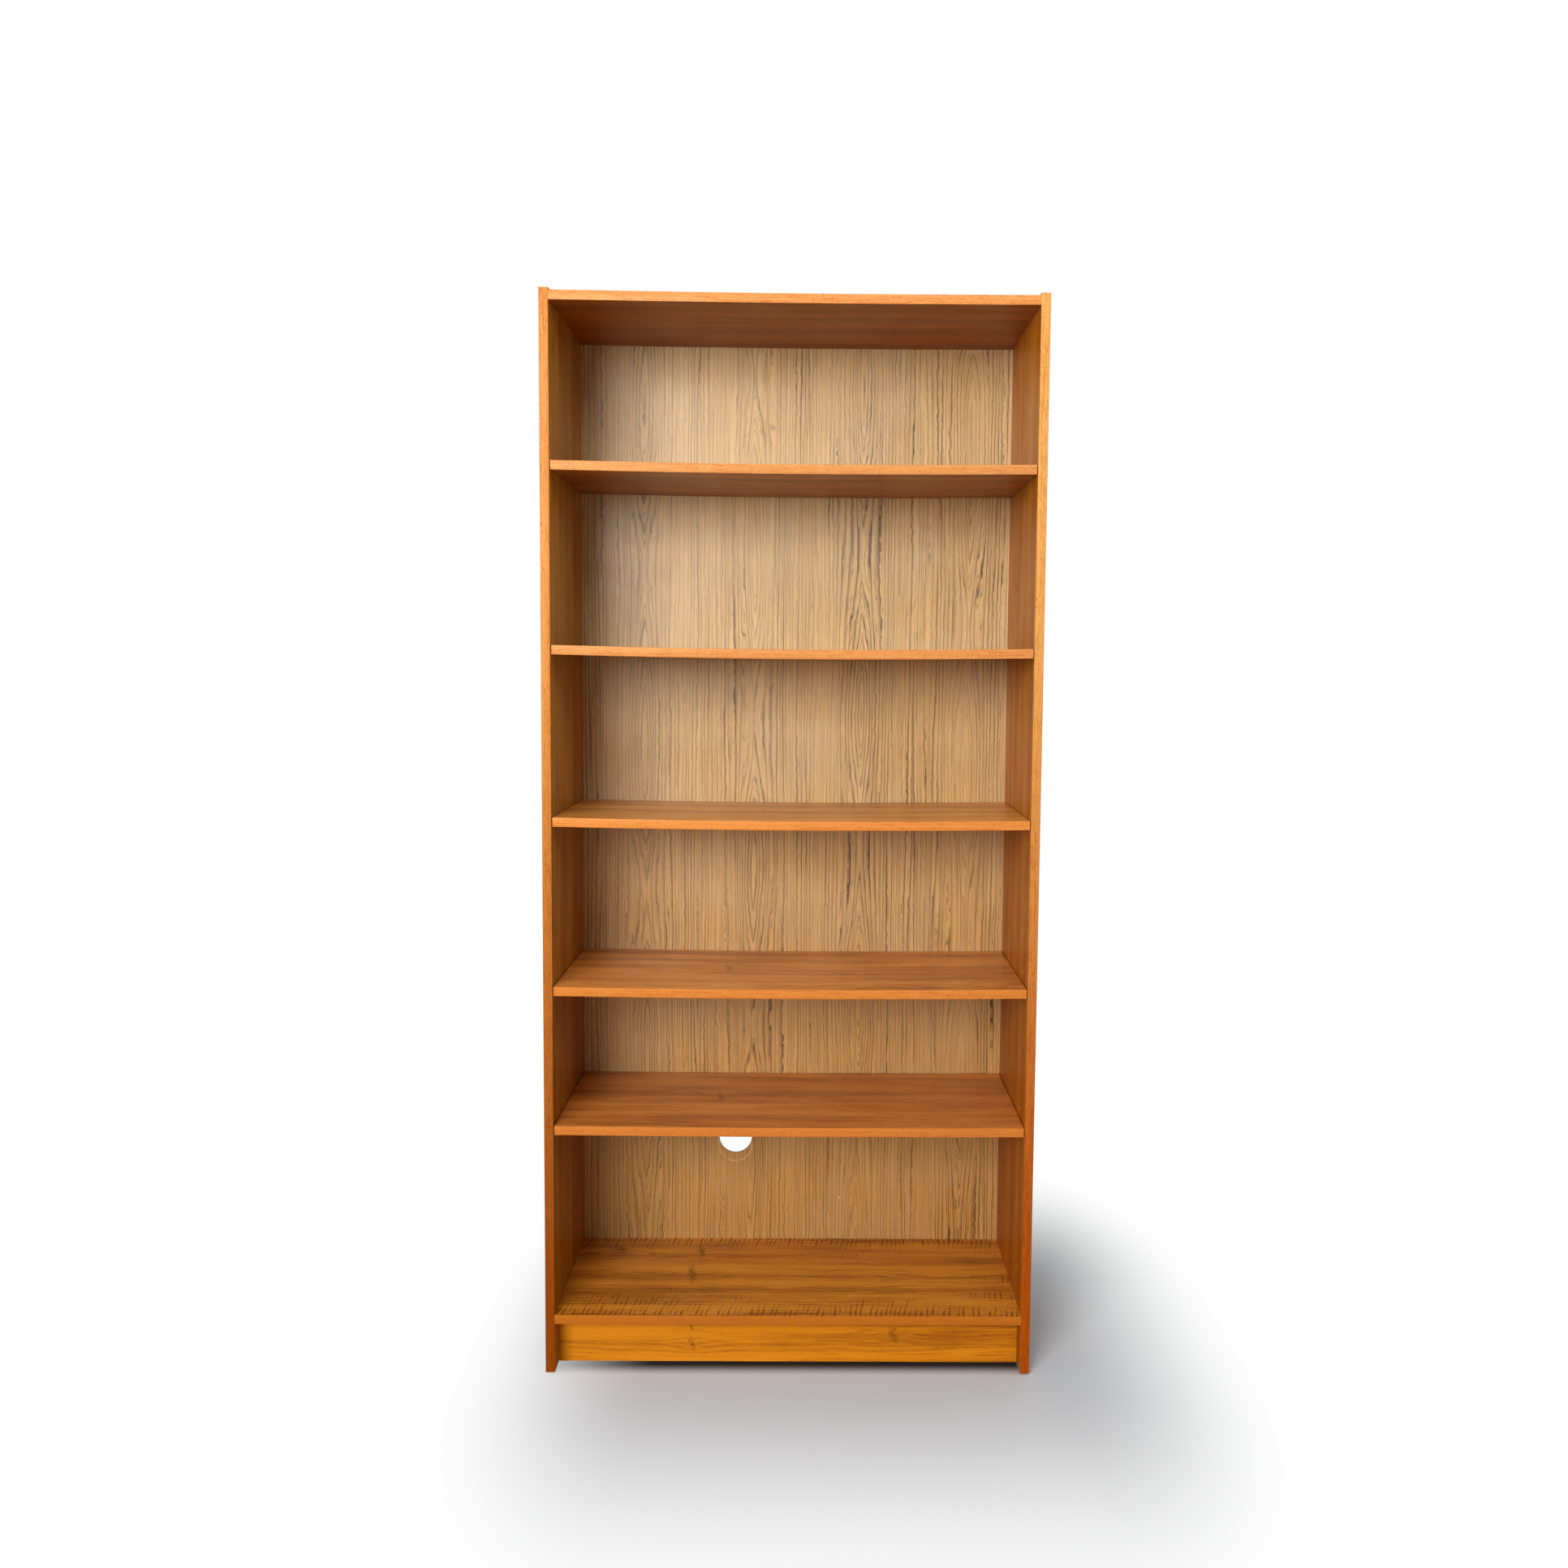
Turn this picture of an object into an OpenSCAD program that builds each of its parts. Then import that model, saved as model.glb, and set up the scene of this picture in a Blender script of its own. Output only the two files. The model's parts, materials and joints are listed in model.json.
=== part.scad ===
// Free-standing bookcase with five loose shelves on hidden pins.
// X runs across the case, Y from the front (-) to the back (+), Z up from the floor.
// The origin is on the floor under the middle of the case.

/* [Case] */
// Width over both side panels
case_w = 850; // [700:1:1020]
// Depth of the side panels, front edging included
case_d = 295; // [245:0.1:360]
// Height of the top board's upper face above the floor
top_level = 1862; // [1700:1:2240]
// Height of the bottom board's upper face above the floor
base_level = 106.5; // [85:0.5:130]
// Thickness of the side panels, top board and bottom board
board_t = 16; // [13:0.1:20]
// How far the side panels stand above the top board
side_rise = 4; // [1:0.5:10]
// Sag of the top board at mid-span
top_sag = 1.9; // [0:0.1:6]
// Thickness of the veneer edging on every shown edge
edging_t = 0.6; // [0.4:0.1:2]

/* [Shelves] */
// Thickness of the loose shelves
shelf_t = 16; // [13:0.1:20]
// Gap between a shelf's end and the side panel
shelf_end_gap = 1.5; // [1:0.1:3]
// How far a shelf's front edge stands behind the front of the case
shelf_setback = 1; // [0:0.5:20]
// Gap between a shelf's back edge and the back panel
shelf_back_gap = 2; // [1:0.5:10]
// Height of the first (highest) shelf's upper face at its ends
shelf_1_level = 1584; // [1400:1:1640]
// Height of the second shelf's upper face at its ends
shelf_2_level = 1276; // [1130:1:1340]
// Height of the third shelf's upper face at its ends
shelf_3_level = 983; // [840:1:1070]
// Height of the fourth shelf's upper face at its ends
shelf_4_level = 690; // [560:1:780]
// Height of the fifth (lowest) shelf's upper face at its ends
shelf_5_level = 445; // [300:1:500]
// Sag of the first shelf at mid-span
shelf_1_sag = 3.5; // [0:0.1:8]
// Sag of the second shelf at mid-span
shelf_2_sag = 4.7; // [0:0.1:8]
// Sag of the third shelf at mid-span
shelf_3_sag = 3.6; // [0:0.1:8]
// Sag of the fourth shelf at mid-span
shelf_4_sag = 3.0; // [0:0.1:8]
// Sag of the fifth shelf at mid-span
shelf_5_sag = 1.6; // [0:0.1:8]

/* [Shelf pins] */
// Radius of a pin's peg, the part inside the side panel
peg_r = 2.45; // [1.9:0.05:3]
// Length of a pin's peg
peg_l = 10; // [8:0.1:12]
// Radius of a pin's head, the part under the shelf
head_r = 3; // [2.5:0.1:3.6]
// Length of a pin's head
head_l = 9; // [7:0.1:11]
// How far a pin pulls out of its hole
pin_travel = 9; // [7:0.1:11]
// Radial clearance of a peg in its hole
peg_clear = 0.05; // [0.02:0.01:0.1]
// Clearance of a head in its groove, above and beside it
groove_clear = 0.2; // [0.1:0.05:0.5]
// Distance from the front of the case to the front pins
front_pin_inset = 50; // [37:1:80]
// Distance from the back panel to the rear pins
rear_pin_inset = 55; // [37:1:80]
// Pitch from a pin in use to the spare hole above and below it
spare_pitch = 32; // [25:1:40]
// Height of the extra pair of holes for a low sixth shelf
low_hole_level = 175; // [145:1:240]

/* [Back panel] */
// Thickness of the back panel
back_t = 3.2; // [2.5:0.1:4]
// Depth of the rebate in the side panels that takes the back panel
rebate_d = 4.8; // [4.6:0.1:8]
// Width of that rebate
rebate_w = 8; // [6:0.1:10]
// Side play of the back panel in its rebates
back_clear = 0.5; // [0.2:0.1:1.5]
// Radius of the round cable hole
cable_hole_r = 32; // [20:0.5:42]
// Centre of the cable hole across the case
cable_hole_x = -111; // [-250:1:250]
// Centre of the cable hole above the floor
cable_hole_z = 314; // [200:1:360]

/* [Plinth] */
// Distance from the front of the case to the plinth board
plinth_setback = 39; // [20:1:60]
// Thickness of the plinth board
plinth_t = 16; // [12:0.1:20]
// Gap between the plinth board and the floor
plinth_gap = 1; // [0.5:0.5:5]
// Width and height of a glue block behind the plinth
block_w = 25; // [20:1:30]
// Length of a glue block
block_l = 80; // [60:1:110]
// Height of the nailed glides under the side panels
glide_h = 3; // [2:0.5:6]

/* [Fixings] */
// Radius of a dowel
dowel_r = 4; // [3:0.1:5]
// Depth of a dowel in the end of a board
dowel_in_board = 22; // [16:1:26]
// Radius of a cam housing
cam_r = 7.5; // [6:0.1:9]
// Height of a cam housing
cam_h = 12; // [10.5:0.1:12.5]
// Distance from a board's end to the middle of its cam housing
cam_back = 24; // [18:1:30]
// Distance of the cams from the front of the case and from the back panel
cam_inset = 60; // [45:1:75]
// Distance from a cam bolt to the dowel beside it
dowel_step = 32; // [24:1:40]
// Largest pitch between two nails of the back panel
nail_pitch = 125; // [80:5:200]

/* [Hidden] */
$fn = 48;
CUT = 1;               // how far a cutting shape runs past the face it opens
SAG_STEPS = 24;        // straight steps along a sagging board
SHELF_COUNT = 5;
FRONT = -1;
REAR = 1;
LEFT = -1;
RIGHT = 1;
SIDES = [["left", LEFT], ["right", RIGHT]];
ROWS = [["front", FRONT], ["rear", REAR]];

levels = [shelf_1_level, shelf_2_level, shelf_3_level, shelf_4_level, shelf_5_level];
sags = [shelf_1_sag, shelf_2_sag, shelf_3_sag, shelf_4_sag, shelf_5_sag];

front_y = -case_d / 2;
back_y = case_d / 2;
panel_y = back_y - rebate_d;              // front face of the back panel
inner_x = case_w / 2 - board_t;           // inner face of a side panel
side_top = top_level + side_rise;
board_l = 2 * inner_x;                    // length of the top and bottom boards
shelf_l = board_l - 2 * shelf_end_gap;
shelf_front = front_y + shelf_setback;
shelf_back = panel_y - shelf_back_gap;

hole_r = peg_r + peg_clear;
hole_depth = peg_l + 1;
groove_w = 2 * (head_r + groove_clear);
groove_depth = 2 * head_r + groove_clear; // a head lies flush with the shelf's underside
groove_reach = head_l + pin_travel + 0.3; // straight run of the groove, measured from the side panel
front_pin_y = front_y + front_pin_inset;
rear_pin_y = panel_y - rear_pin_inset;

plinth_y = front_y + plinth_setback;
plinth_top = base_level - board_t;
plinth_dowel_inset = 22;                  // from the plinth board's edges to its dowels
block_inset = 170;                        // from a side panel to the middle of the first glue block
block_pitch = 250;                        // largest pitch between glue blocks
back_top_gap = 1;                         // from the top of the back panel to the top board's face

dowel_play = 0.05;
dowel_in_side = board_t - 6;
dowel_end_play = 0.5;
cam_play = 0.1;
cam_bore_h = cam_h + 0.4;
cam_slot_l = 9;
cam_slot_w = 1.6;
cam_slot_d = 2.5;
bolt_thread_r = 2.5;
bolt_thread_l = board_t - 6.5;
bolt_shank_r = 2.6;
bolt_head_r = 3.2;
bolt_head_l = 3;
bolt_way_r = 3.5;                         // the bolt's way through board end and housing

nail_r = 0.8;
nail_l = 18;
nail_head_r = 2.2;
nail_head_t = 0.6;
nail_end = 20;                            // from a panel corner to the first nail
screw_r = 1.8;
screw_l = 34;
screw_head_r = 3.6;
screw_head_h = 2.4;
glide_r = 7;
spike_r = 1.2;
spike_l = 12;

veneer = [0.66, 0.38, 0.15];
edge_veneer = [0.85, 0.52, 0.22];
printed_back = [0.72, 0.52, 0.32];
steel = [0.72, 0.73, 0.75];
zinc = [0.62, 0.63, 0.66];
beech = [0.86, 0.72, 0.52];
pine = [0.88, 0.76, 0.54];
glide_brown = [0.25, 0.17, 0.11];

function pin_name(i, side, row) = str("pin_", i, "_", side, "_", row);
function row_y(row) = row == FRONT ? front_pin_y : rear_pin_y;
function pin_z(level) = level - shelf_t + head_r;
// Drop of a uniformly loaded beam of span l at x from its middle, s at mid-span.
function drop(x, l, s) = s * (1 - 24 / 5 * pow(x / l, 2) + 16 / 5 * pow(x / l, 4));
function cam_y(row) = row == FRONT ? front_y + cam_inset : panel_y - cam_inset;
function dowel_y(row) = cam_y(row) - row * dowel_step;
// Evenly spread places from a to b, no further apart than the largest pitch.
function spread(a, b, pitch) = let (n = ceil((b - a) / pitch)) [for (i = [0:n]) a + (b - a) * i / n];

// ---- shared shapes ----

// A board that sags between its ends: length l, thickness t, from y0 to y1, upper face at z = 0.
module sagging_board(l, t, y0, y1, s) {
    steps = s > 0 ? SAG_STEPS : 1;
    upper = [for (i = [0:steps]) let (x = l * (i / steps - 0.5)) [x, -drop(x, l, s)]];
    lower = [for (i = [steps:-1:0]) [upper[i][0], upper[i][1] - t]];
    translate([0, y1, 0]) rotate([90, 0, 0]) linear_extrude(y1 - y0) polygon(concat(upper, lower));
}

// A round rod along X, from x0 to x1 on the given side.
module rod_x(side, x0, x1, r) {
    translate([side * x0, 0, 0]) rotate([0, side * 90, 0]) cylinder(r = r, h = x1 - x0);
}

// ---- side panels ----

// Seen from above: a board with the rebate for the back panel at its inner rear corner.
module side_plan(side, y0) {
    difference() {
        translate([side == LEFT ? -case_w / 2 : inner_x, y0]) square([board_t, back_y - y0]);
        translate([side == LEFT ? -inner_x - rebate_w : inner_x - CUT, panel_y])
            square([rebate_w + CUT, rebate_d + CUT]);
    }
}

module pin_holes(side) {
    used = [for (l = levels) pin_z(l)];
    heights = concat([for (z = used, k = [-1, 0, 1]) z + k * spare_pitch], [low_hole_level]);
    for (z = heights, r = ROWS)
        translate([0, row_y(r[1]), z]) rod_x(side, inner_x - CUT, inner_x + hole_depth, hole_r);
}

module side_fixing_holes(side) {
    for (z = [top_level - board_t / 2, base_level - board_t / 2], r = ROWS) {
        translate([0, cam_y(r[1]), z])
            rod_x(side, inner_x - CUT, inner_x + bolt_thread_l + dowel_end_play, bolt_thread_r + dowel_play);
        translate([0, dowel_y(r[1]), z])
            rod_x(side, inner_x - CUT, inner_x + dowel_in_side + dowel_end_play, dowel_r + dowel_play);
    }
    for (z = plinth_dowel_heights())
        translate([0, plinth_y + plinth_t / 2, z])
            rod_x(side, inner_x - CUT, inner_x + dowel_in_side + dowel_end_play, dowel_r + dowel_play);
}

module side_panel(side) {
    color(veneer) difference() {
        translate([0, 0, glide_h])
            linear_extrude(side_top - edging_t - glide_h) side_plan(side, front_y + edging_t);
        pin_holes(side);
        side_fixing_holes(side);
    }
}

module side_edging(side) {
    color(edge_veneer)
        translate([side == LEFT ? -case_w / 2 : inner_x, front_y, glide_h])
            cube([board_t, edging_t, side_top - edging_t - glide_h]);
}

module side_cap(side) {
    color(edge_veneer)
        translate([0, 0, side_top - edging_t]) linear_extrude(edging_t) side_plan(side, front_y);
}

// ---- fixed boards ----

// Bores in a fixed board's ends; face is 1 where the cams open upwards and -1 where downwards.
module board_fixing_holes(face) {
    for (s = SIDES, r = ROWS) {
        translate([0, cam_y(r[1]), -board_t / 2]) {
            rod_x(s[1], inner_x - cam_back - bolt_way_r, inner_x + CUT, bolt_way_r);
            translate([s[1] * (inner_x - cam_back), 0, face * (board_t / 2 - cam_bore_h / 2 + CUT / 2)])
                cylinder(r = cam_r + cam_play, h = cam_bore_h + CUT, center = true);
        }
        translate([0, dowel_y(r[1]), -board_t / 2])
            rod_x(s[1], inner_x - dowel_in_board - dowel_end_play, inner_x + CUT, dowel_r + dowel_play);
    }
}

module top_board() {
    color(veneer) translate([0, 0, top_level]) difference() {
        sagging_board(board_l, board_t, front_y + edging_t, panel_y, top_sag);
        board_fixing_holes(1);
    }
}

module top_edging() {
    color(edge_veneer) translate([0, 0, top_level])
        sagging_board(board_l, board_t, front_y, front_y + edging_t, top_sag);
}

module bottom_board() {
    color(veneer) translate([0, 0, base_level]) difference() {
        sagging_board(board_l, board_t, front_y + edging_t, panel_y, 0);
        board_fixing_holes(-1);
    }
}

module bottom_edging() {
    color(edge_veneer) translate([0, 0, base_level])
        sagging_board(board_l, board_t, front_y, front_y + edging_t, 0);
}

module back_panel() {
    low = base_level - board_t;
    high = top_level - top_sag - back_top_gap;
    half_w = inner_x + rebate_w - back_clear;
    color(printed_back) difference() {
        translate([-half_w, panel_y, low]) cube([2 * half_w, back_t, high - low]);
        translate([cable_hole_x, panel_y - CUT, cable_hole_z])
            rotate([-90, 0, 0]) cylinder(r = cable_hole_r, h = back_t + 2 * CUT, $fn = 96);
    }
}

// ---- loose shelves and their pins ----

// A stopped groove under a shelf's end, wide enough for a pin's head and its way out.
module pin_groove(side, row) {
    translate([0, row_y(row), -2 * shelf_t]) {
        translate([side == LEFT ? -inner_x - CUT : inner_x - groove_reach, -groove_w / 2, 0])
            cube([groove_reach + CUT, groove_w, shelf_t + groove_depth]);
        translate([side * (inner_x - groove_reach), 0, 0])
            cylinder(d = groove_w, h = shelf_t + groove_depth);
    }
}

module shelf(i) {
    color(veneer) translate([0, 0, levels[i - 1]]) difference() {
        sagging_board(shelf_l, shelf_t, shelf_front + edging_t, shelf_back, sags[i - 1]);
        for (s = SIDES, r = ROWS) pin_groove(s[1], r[1]);
    }
}

module shelf_edging(i) {
    color(edge_veneer) translate([0, 0, levels[i - 1]])
        sagging_board(shelf_l, shelf_t, shelf_front, shelf_front + edging_t, sags[i - 1]);
}

module shelf_pin(i, side, row) {
    color(steel) translate([0, row_y(row), pin_z(levels[i - 1])]) {
        rod_x(side, inner_x - head_l, inner_x, head_r);
        rod_x(side, inner_x, inner_x + peg_l, peg_r);
    }
}

// ---- fixings ----

module cam_housing(side, face) {
    difference() {
        translate([0, 0, face * (board_t / 2 - cam_h / 2)]) cylinder(r = cam_r, h = cam_h, center = true);
        translate([-side * bolt_way_r, 0, 0])
            rotate([0, side * 90, 0]) cylinder(r = bolt_way_r, h = cam_r + bolt_way_r + CUT);
        for (turn = [0, 90])
            translate([0, 0, face * board_t / 2]) rotate([0, 0, turn])
                cube([cam_slot_l, cam_slot_w, 2 * cam_slot_d], center = true);
    }
}

module cam_housings(level, face) {
    color(zinc) for (s = SIDES, r = ROWS)
        translate([s[1] * (inner_x - cam_back), cam_y(r[1]), level - board_t / 2])
            cam_housing(s[1], face);
}

module cam_bolts(level) {
    color(zinc) for (s = SIDES, r = ROWS)
        translate([0, cam_y(r[1]), level - board_t / 2]) {
            rod_x(s[1], inner_x, inner_x + bolt_thread_l, bolt_thread_r);
            rod_x(s[1], inner_x - cam_back, inner_x, bolt_shank_r);
            rod_x(s[1], inner_x - cam_back - bolt_head_l / 2, inner_x - cam_back + bolt_head_l / 2,
                  bolt_head_r);
        }
}

module board_dowels(level) {
    color(beech) for (s = SIDES, r = ROWS)
        translate([0, dowel_y(r[1]), level - board_t / 2])
            rod_x(s[1], inner_x - dowel_in_board, inner_x + dowel_in_side, dowel_r);
}

// ---- plinth ----

function plinth_dowel_heights() = [plinth_gap + plinth_dowel_inset, plinth_top - plinth_dowel_inset];
function block_places() = spread(block_inset - inner_x, inner_x - block_inset, block_pitch);

module plinth_board() {
    color(veneer) difference() {
        translate([-inner_x, plinth_y, plinth_gap]) cube([board_l, plinth_t, plinth_top - plinth_gap]);
        for (s = SIDES, z = plinth_dowel_heights())
            translate([0, plinth_y + plinth_t / 2, z])
                rod_x(s[1], inner_x - dowel_in_board - dowel_end_play, inner_x + CUT, dowel_r + dowel_play);
    }
}

module plinth_dowels() {
    color(beech) for (s = SIDES, z = plinth_dowel_heights())
        translate([0, plinth_y + plinth_t / 2, z])
            rod_x(s[1], inner_x - dowel_in_board, inner_x + dowel_in_side, dowel_r);
}

// Two screws a block: one up into the bottom board, one forwards into the plinth board.
module block_screws(clearance) {
    half = block_l / 4;
    middle = block_w / 2;
    for (x = block_places()) {
        translate([x - half, plinth_y + plinth_t + middle, plinth_top - block_w])
            countersunk(clearance);
        translate([x + half, plinth_y + plinth_t + block_w, plinth_top - middle])
            rotate([90, 0, 0]) countersunk(clearance);
    }
}

// A countersunk screw standing head down at the origin.
module countersunk(clearance) {
    if (clearance > 0) translate([0, 0, -CUT]) cylinder(r = screw_head_r + clearance, h = CUT);
    cylinder(r1 = screw_head_r + clearance, r2 = screw_r + clearance, h = screw_head_h);
    cylinder(r = screw_r + clearance, h = screw_l);
}

module plinth_blocks() {
    clearance = 0.2;
    color(pine) difference() {
        for (x = block_places())
            translate([x - block_l / 2, plinth_y + plinth_t, plinth_top - block_w])
                cube([block_l, block_w, block_w]);
        block_screws(clearance);
    }
}

module plinth_screws() {
    color(zinc) block_screws(0);
}

// ---- back panel nails and glides ----

module back_nail() {
    rotate([90, 0, 0]) {
        cylinder(r = nail_r, h = nail_l, $fn = 16);
        translate([0, 0, -nail_head_t]) cylinder(r = nail_head_r, h = nail_head_t, $fn = 24);
    }
}

module back_panel_nails() {
    x_side = inner_x + rebate_w / 2;
    z_low = base_level - board_t / 2;
    z_high = top_level - top_sag - board_t / 2;
    color(zinc) translate([0, panel_y + back_t, 0]) {
        for (s = [LEFT, RIGHT], z = spread(z_low, z_high, nail_pitch))
            translate([s * x_side, 0, z]) back_nail();
        for (z = [z_low, z_high], x = spread(-inner_x + nail_end, inner_x - nail_end, nail_pitch))
            translate([x, 0, z]) back_nail();
    }
}

module floor_glides() {
    inset = 30;
    color(glide_brown)
        for (x = [-case_w / 2 + board_t / 2, case_w / 2 - board_t / 2], y = [front_y + inset, back_y - inset])
            translate([x, y, 0]) {
                cylinder(r1 = glide_r - 1, r2 = glide_r - 0.2, h = glide_h);
                cylinder(r = spike_r, h = glide_h + spike_l);
            }
}

// ---- the pieces ----

side_panel(LEFT);  // side_panel_left
side_panel(RIGHT);  // side_panel_right
side_edging(LEFT);  // side_edging_left
side_edging(RIGHT);  // side_edging_right
side_cap(LEFT);  // side_cap_left
side_cap(RIGHT);  // side_cap_right
top_board();
top_edging();
bottom_board();
bottom_edging();
plinth_board();
back_panel();
for (i = [1:SHELF_COUNT]) {
    shelf(i);
    shelf_edging(i);
    for (s = SIDES, r = ROWS)
        shelf_pin(i, s[1], r[1]);
}
cam_housings(top_level, 1);  // top_cam_housings
cam_housings(base_level, -1);  // bottom_cam_housings
cam_bolts(top_level);  // top_cam_bolts
cam_bolts(base_level);  // bottom_cam_bolts
board_dowels(top_level);  // top_dowels
board_dowels(base_level);  // bottom_dowels
plinth_dowels();
plinth_blocks();
plinth_screws();
back_panel_nails();
floor_glides();
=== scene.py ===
"""Looks of a tall veneered bookcase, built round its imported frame.

The boards, back panel and fittings keep the frame's shapes and places, and get their veneer, print,
lacquer and metal here. The pieces whose detail is finer than the frame's are made here in its place:
eased veneer edgings, turned shelf pins, domed nails and glides, and the torn lip of the cable hole.
"""

import json
import logging
import math
from collections.abc import Callable, Iterable
from dataclasses import dataclass, field
from enum import Enum
from functools import cache

import bmesh
import bpy
from mathutils import Matrix, Vector, noise

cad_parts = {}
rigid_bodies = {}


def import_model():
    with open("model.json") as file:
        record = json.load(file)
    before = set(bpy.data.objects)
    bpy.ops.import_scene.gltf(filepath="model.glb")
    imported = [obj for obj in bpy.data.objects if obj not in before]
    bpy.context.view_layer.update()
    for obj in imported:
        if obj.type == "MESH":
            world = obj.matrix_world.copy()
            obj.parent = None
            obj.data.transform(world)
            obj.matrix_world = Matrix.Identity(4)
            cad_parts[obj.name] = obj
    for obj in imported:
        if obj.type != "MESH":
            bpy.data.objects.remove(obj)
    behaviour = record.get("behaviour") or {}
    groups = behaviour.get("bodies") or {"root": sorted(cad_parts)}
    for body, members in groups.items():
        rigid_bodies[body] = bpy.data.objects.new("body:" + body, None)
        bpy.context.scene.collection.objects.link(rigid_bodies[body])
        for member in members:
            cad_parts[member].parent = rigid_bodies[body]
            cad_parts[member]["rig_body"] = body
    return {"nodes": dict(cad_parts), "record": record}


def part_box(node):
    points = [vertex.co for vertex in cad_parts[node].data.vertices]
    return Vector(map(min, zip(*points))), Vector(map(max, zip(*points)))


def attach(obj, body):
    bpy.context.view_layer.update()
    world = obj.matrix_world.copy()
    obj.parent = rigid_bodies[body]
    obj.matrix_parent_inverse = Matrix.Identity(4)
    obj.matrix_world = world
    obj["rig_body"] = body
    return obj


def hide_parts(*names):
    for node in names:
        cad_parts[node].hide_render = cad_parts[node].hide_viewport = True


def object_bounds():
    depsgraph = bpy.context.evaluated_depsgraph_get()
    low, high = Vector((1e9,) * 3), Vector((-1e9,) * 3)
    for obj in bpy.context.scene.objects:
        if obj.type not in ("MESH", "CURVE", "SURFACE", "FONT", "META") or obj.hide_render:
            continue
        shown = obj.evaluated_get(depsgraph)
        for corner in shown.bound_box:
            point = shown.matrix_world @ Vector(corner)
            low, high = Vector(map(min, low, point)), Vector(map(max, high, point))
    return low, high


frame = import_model()
CAD_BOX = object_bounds()

LOG = logging.getLogger("bookcase")
MM = 0.001
ARRIS = 0.45 * MM
SAG_STEPS = 24
Socket = bpy.types.NodeSocket
Value = Socket | float
Colour = tuple[float, float, float]
Outline = list[tuple[float, float]]


def srgb(red: int, green: int, blue: int) -> Colour:
    """Turns a display colour, with channels from 0 to 255, into the linear one that shaders take."""

    def linear(value: int) -> float:
        """Undoes the display curve of one channel."""
        share = value / 255
        return share / 12.92 if share <= 0.04045 else ((share + 0.055) / 1.055) ** 2.4

    return linear(red), linear(green), linear(blue)


class Grain(Enum):
    """Which axes of the case run along the grain, across it and through the board."""

    BOARD_FLAT = "xyz"
    BOARD_UPRIGHT = "xzy"
    SIDE_UPRIGHT = "zyx"
    FRONT_UPRIGHT = "zxy"


# ---------------------------------------------------------------- shader graphs


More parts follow.
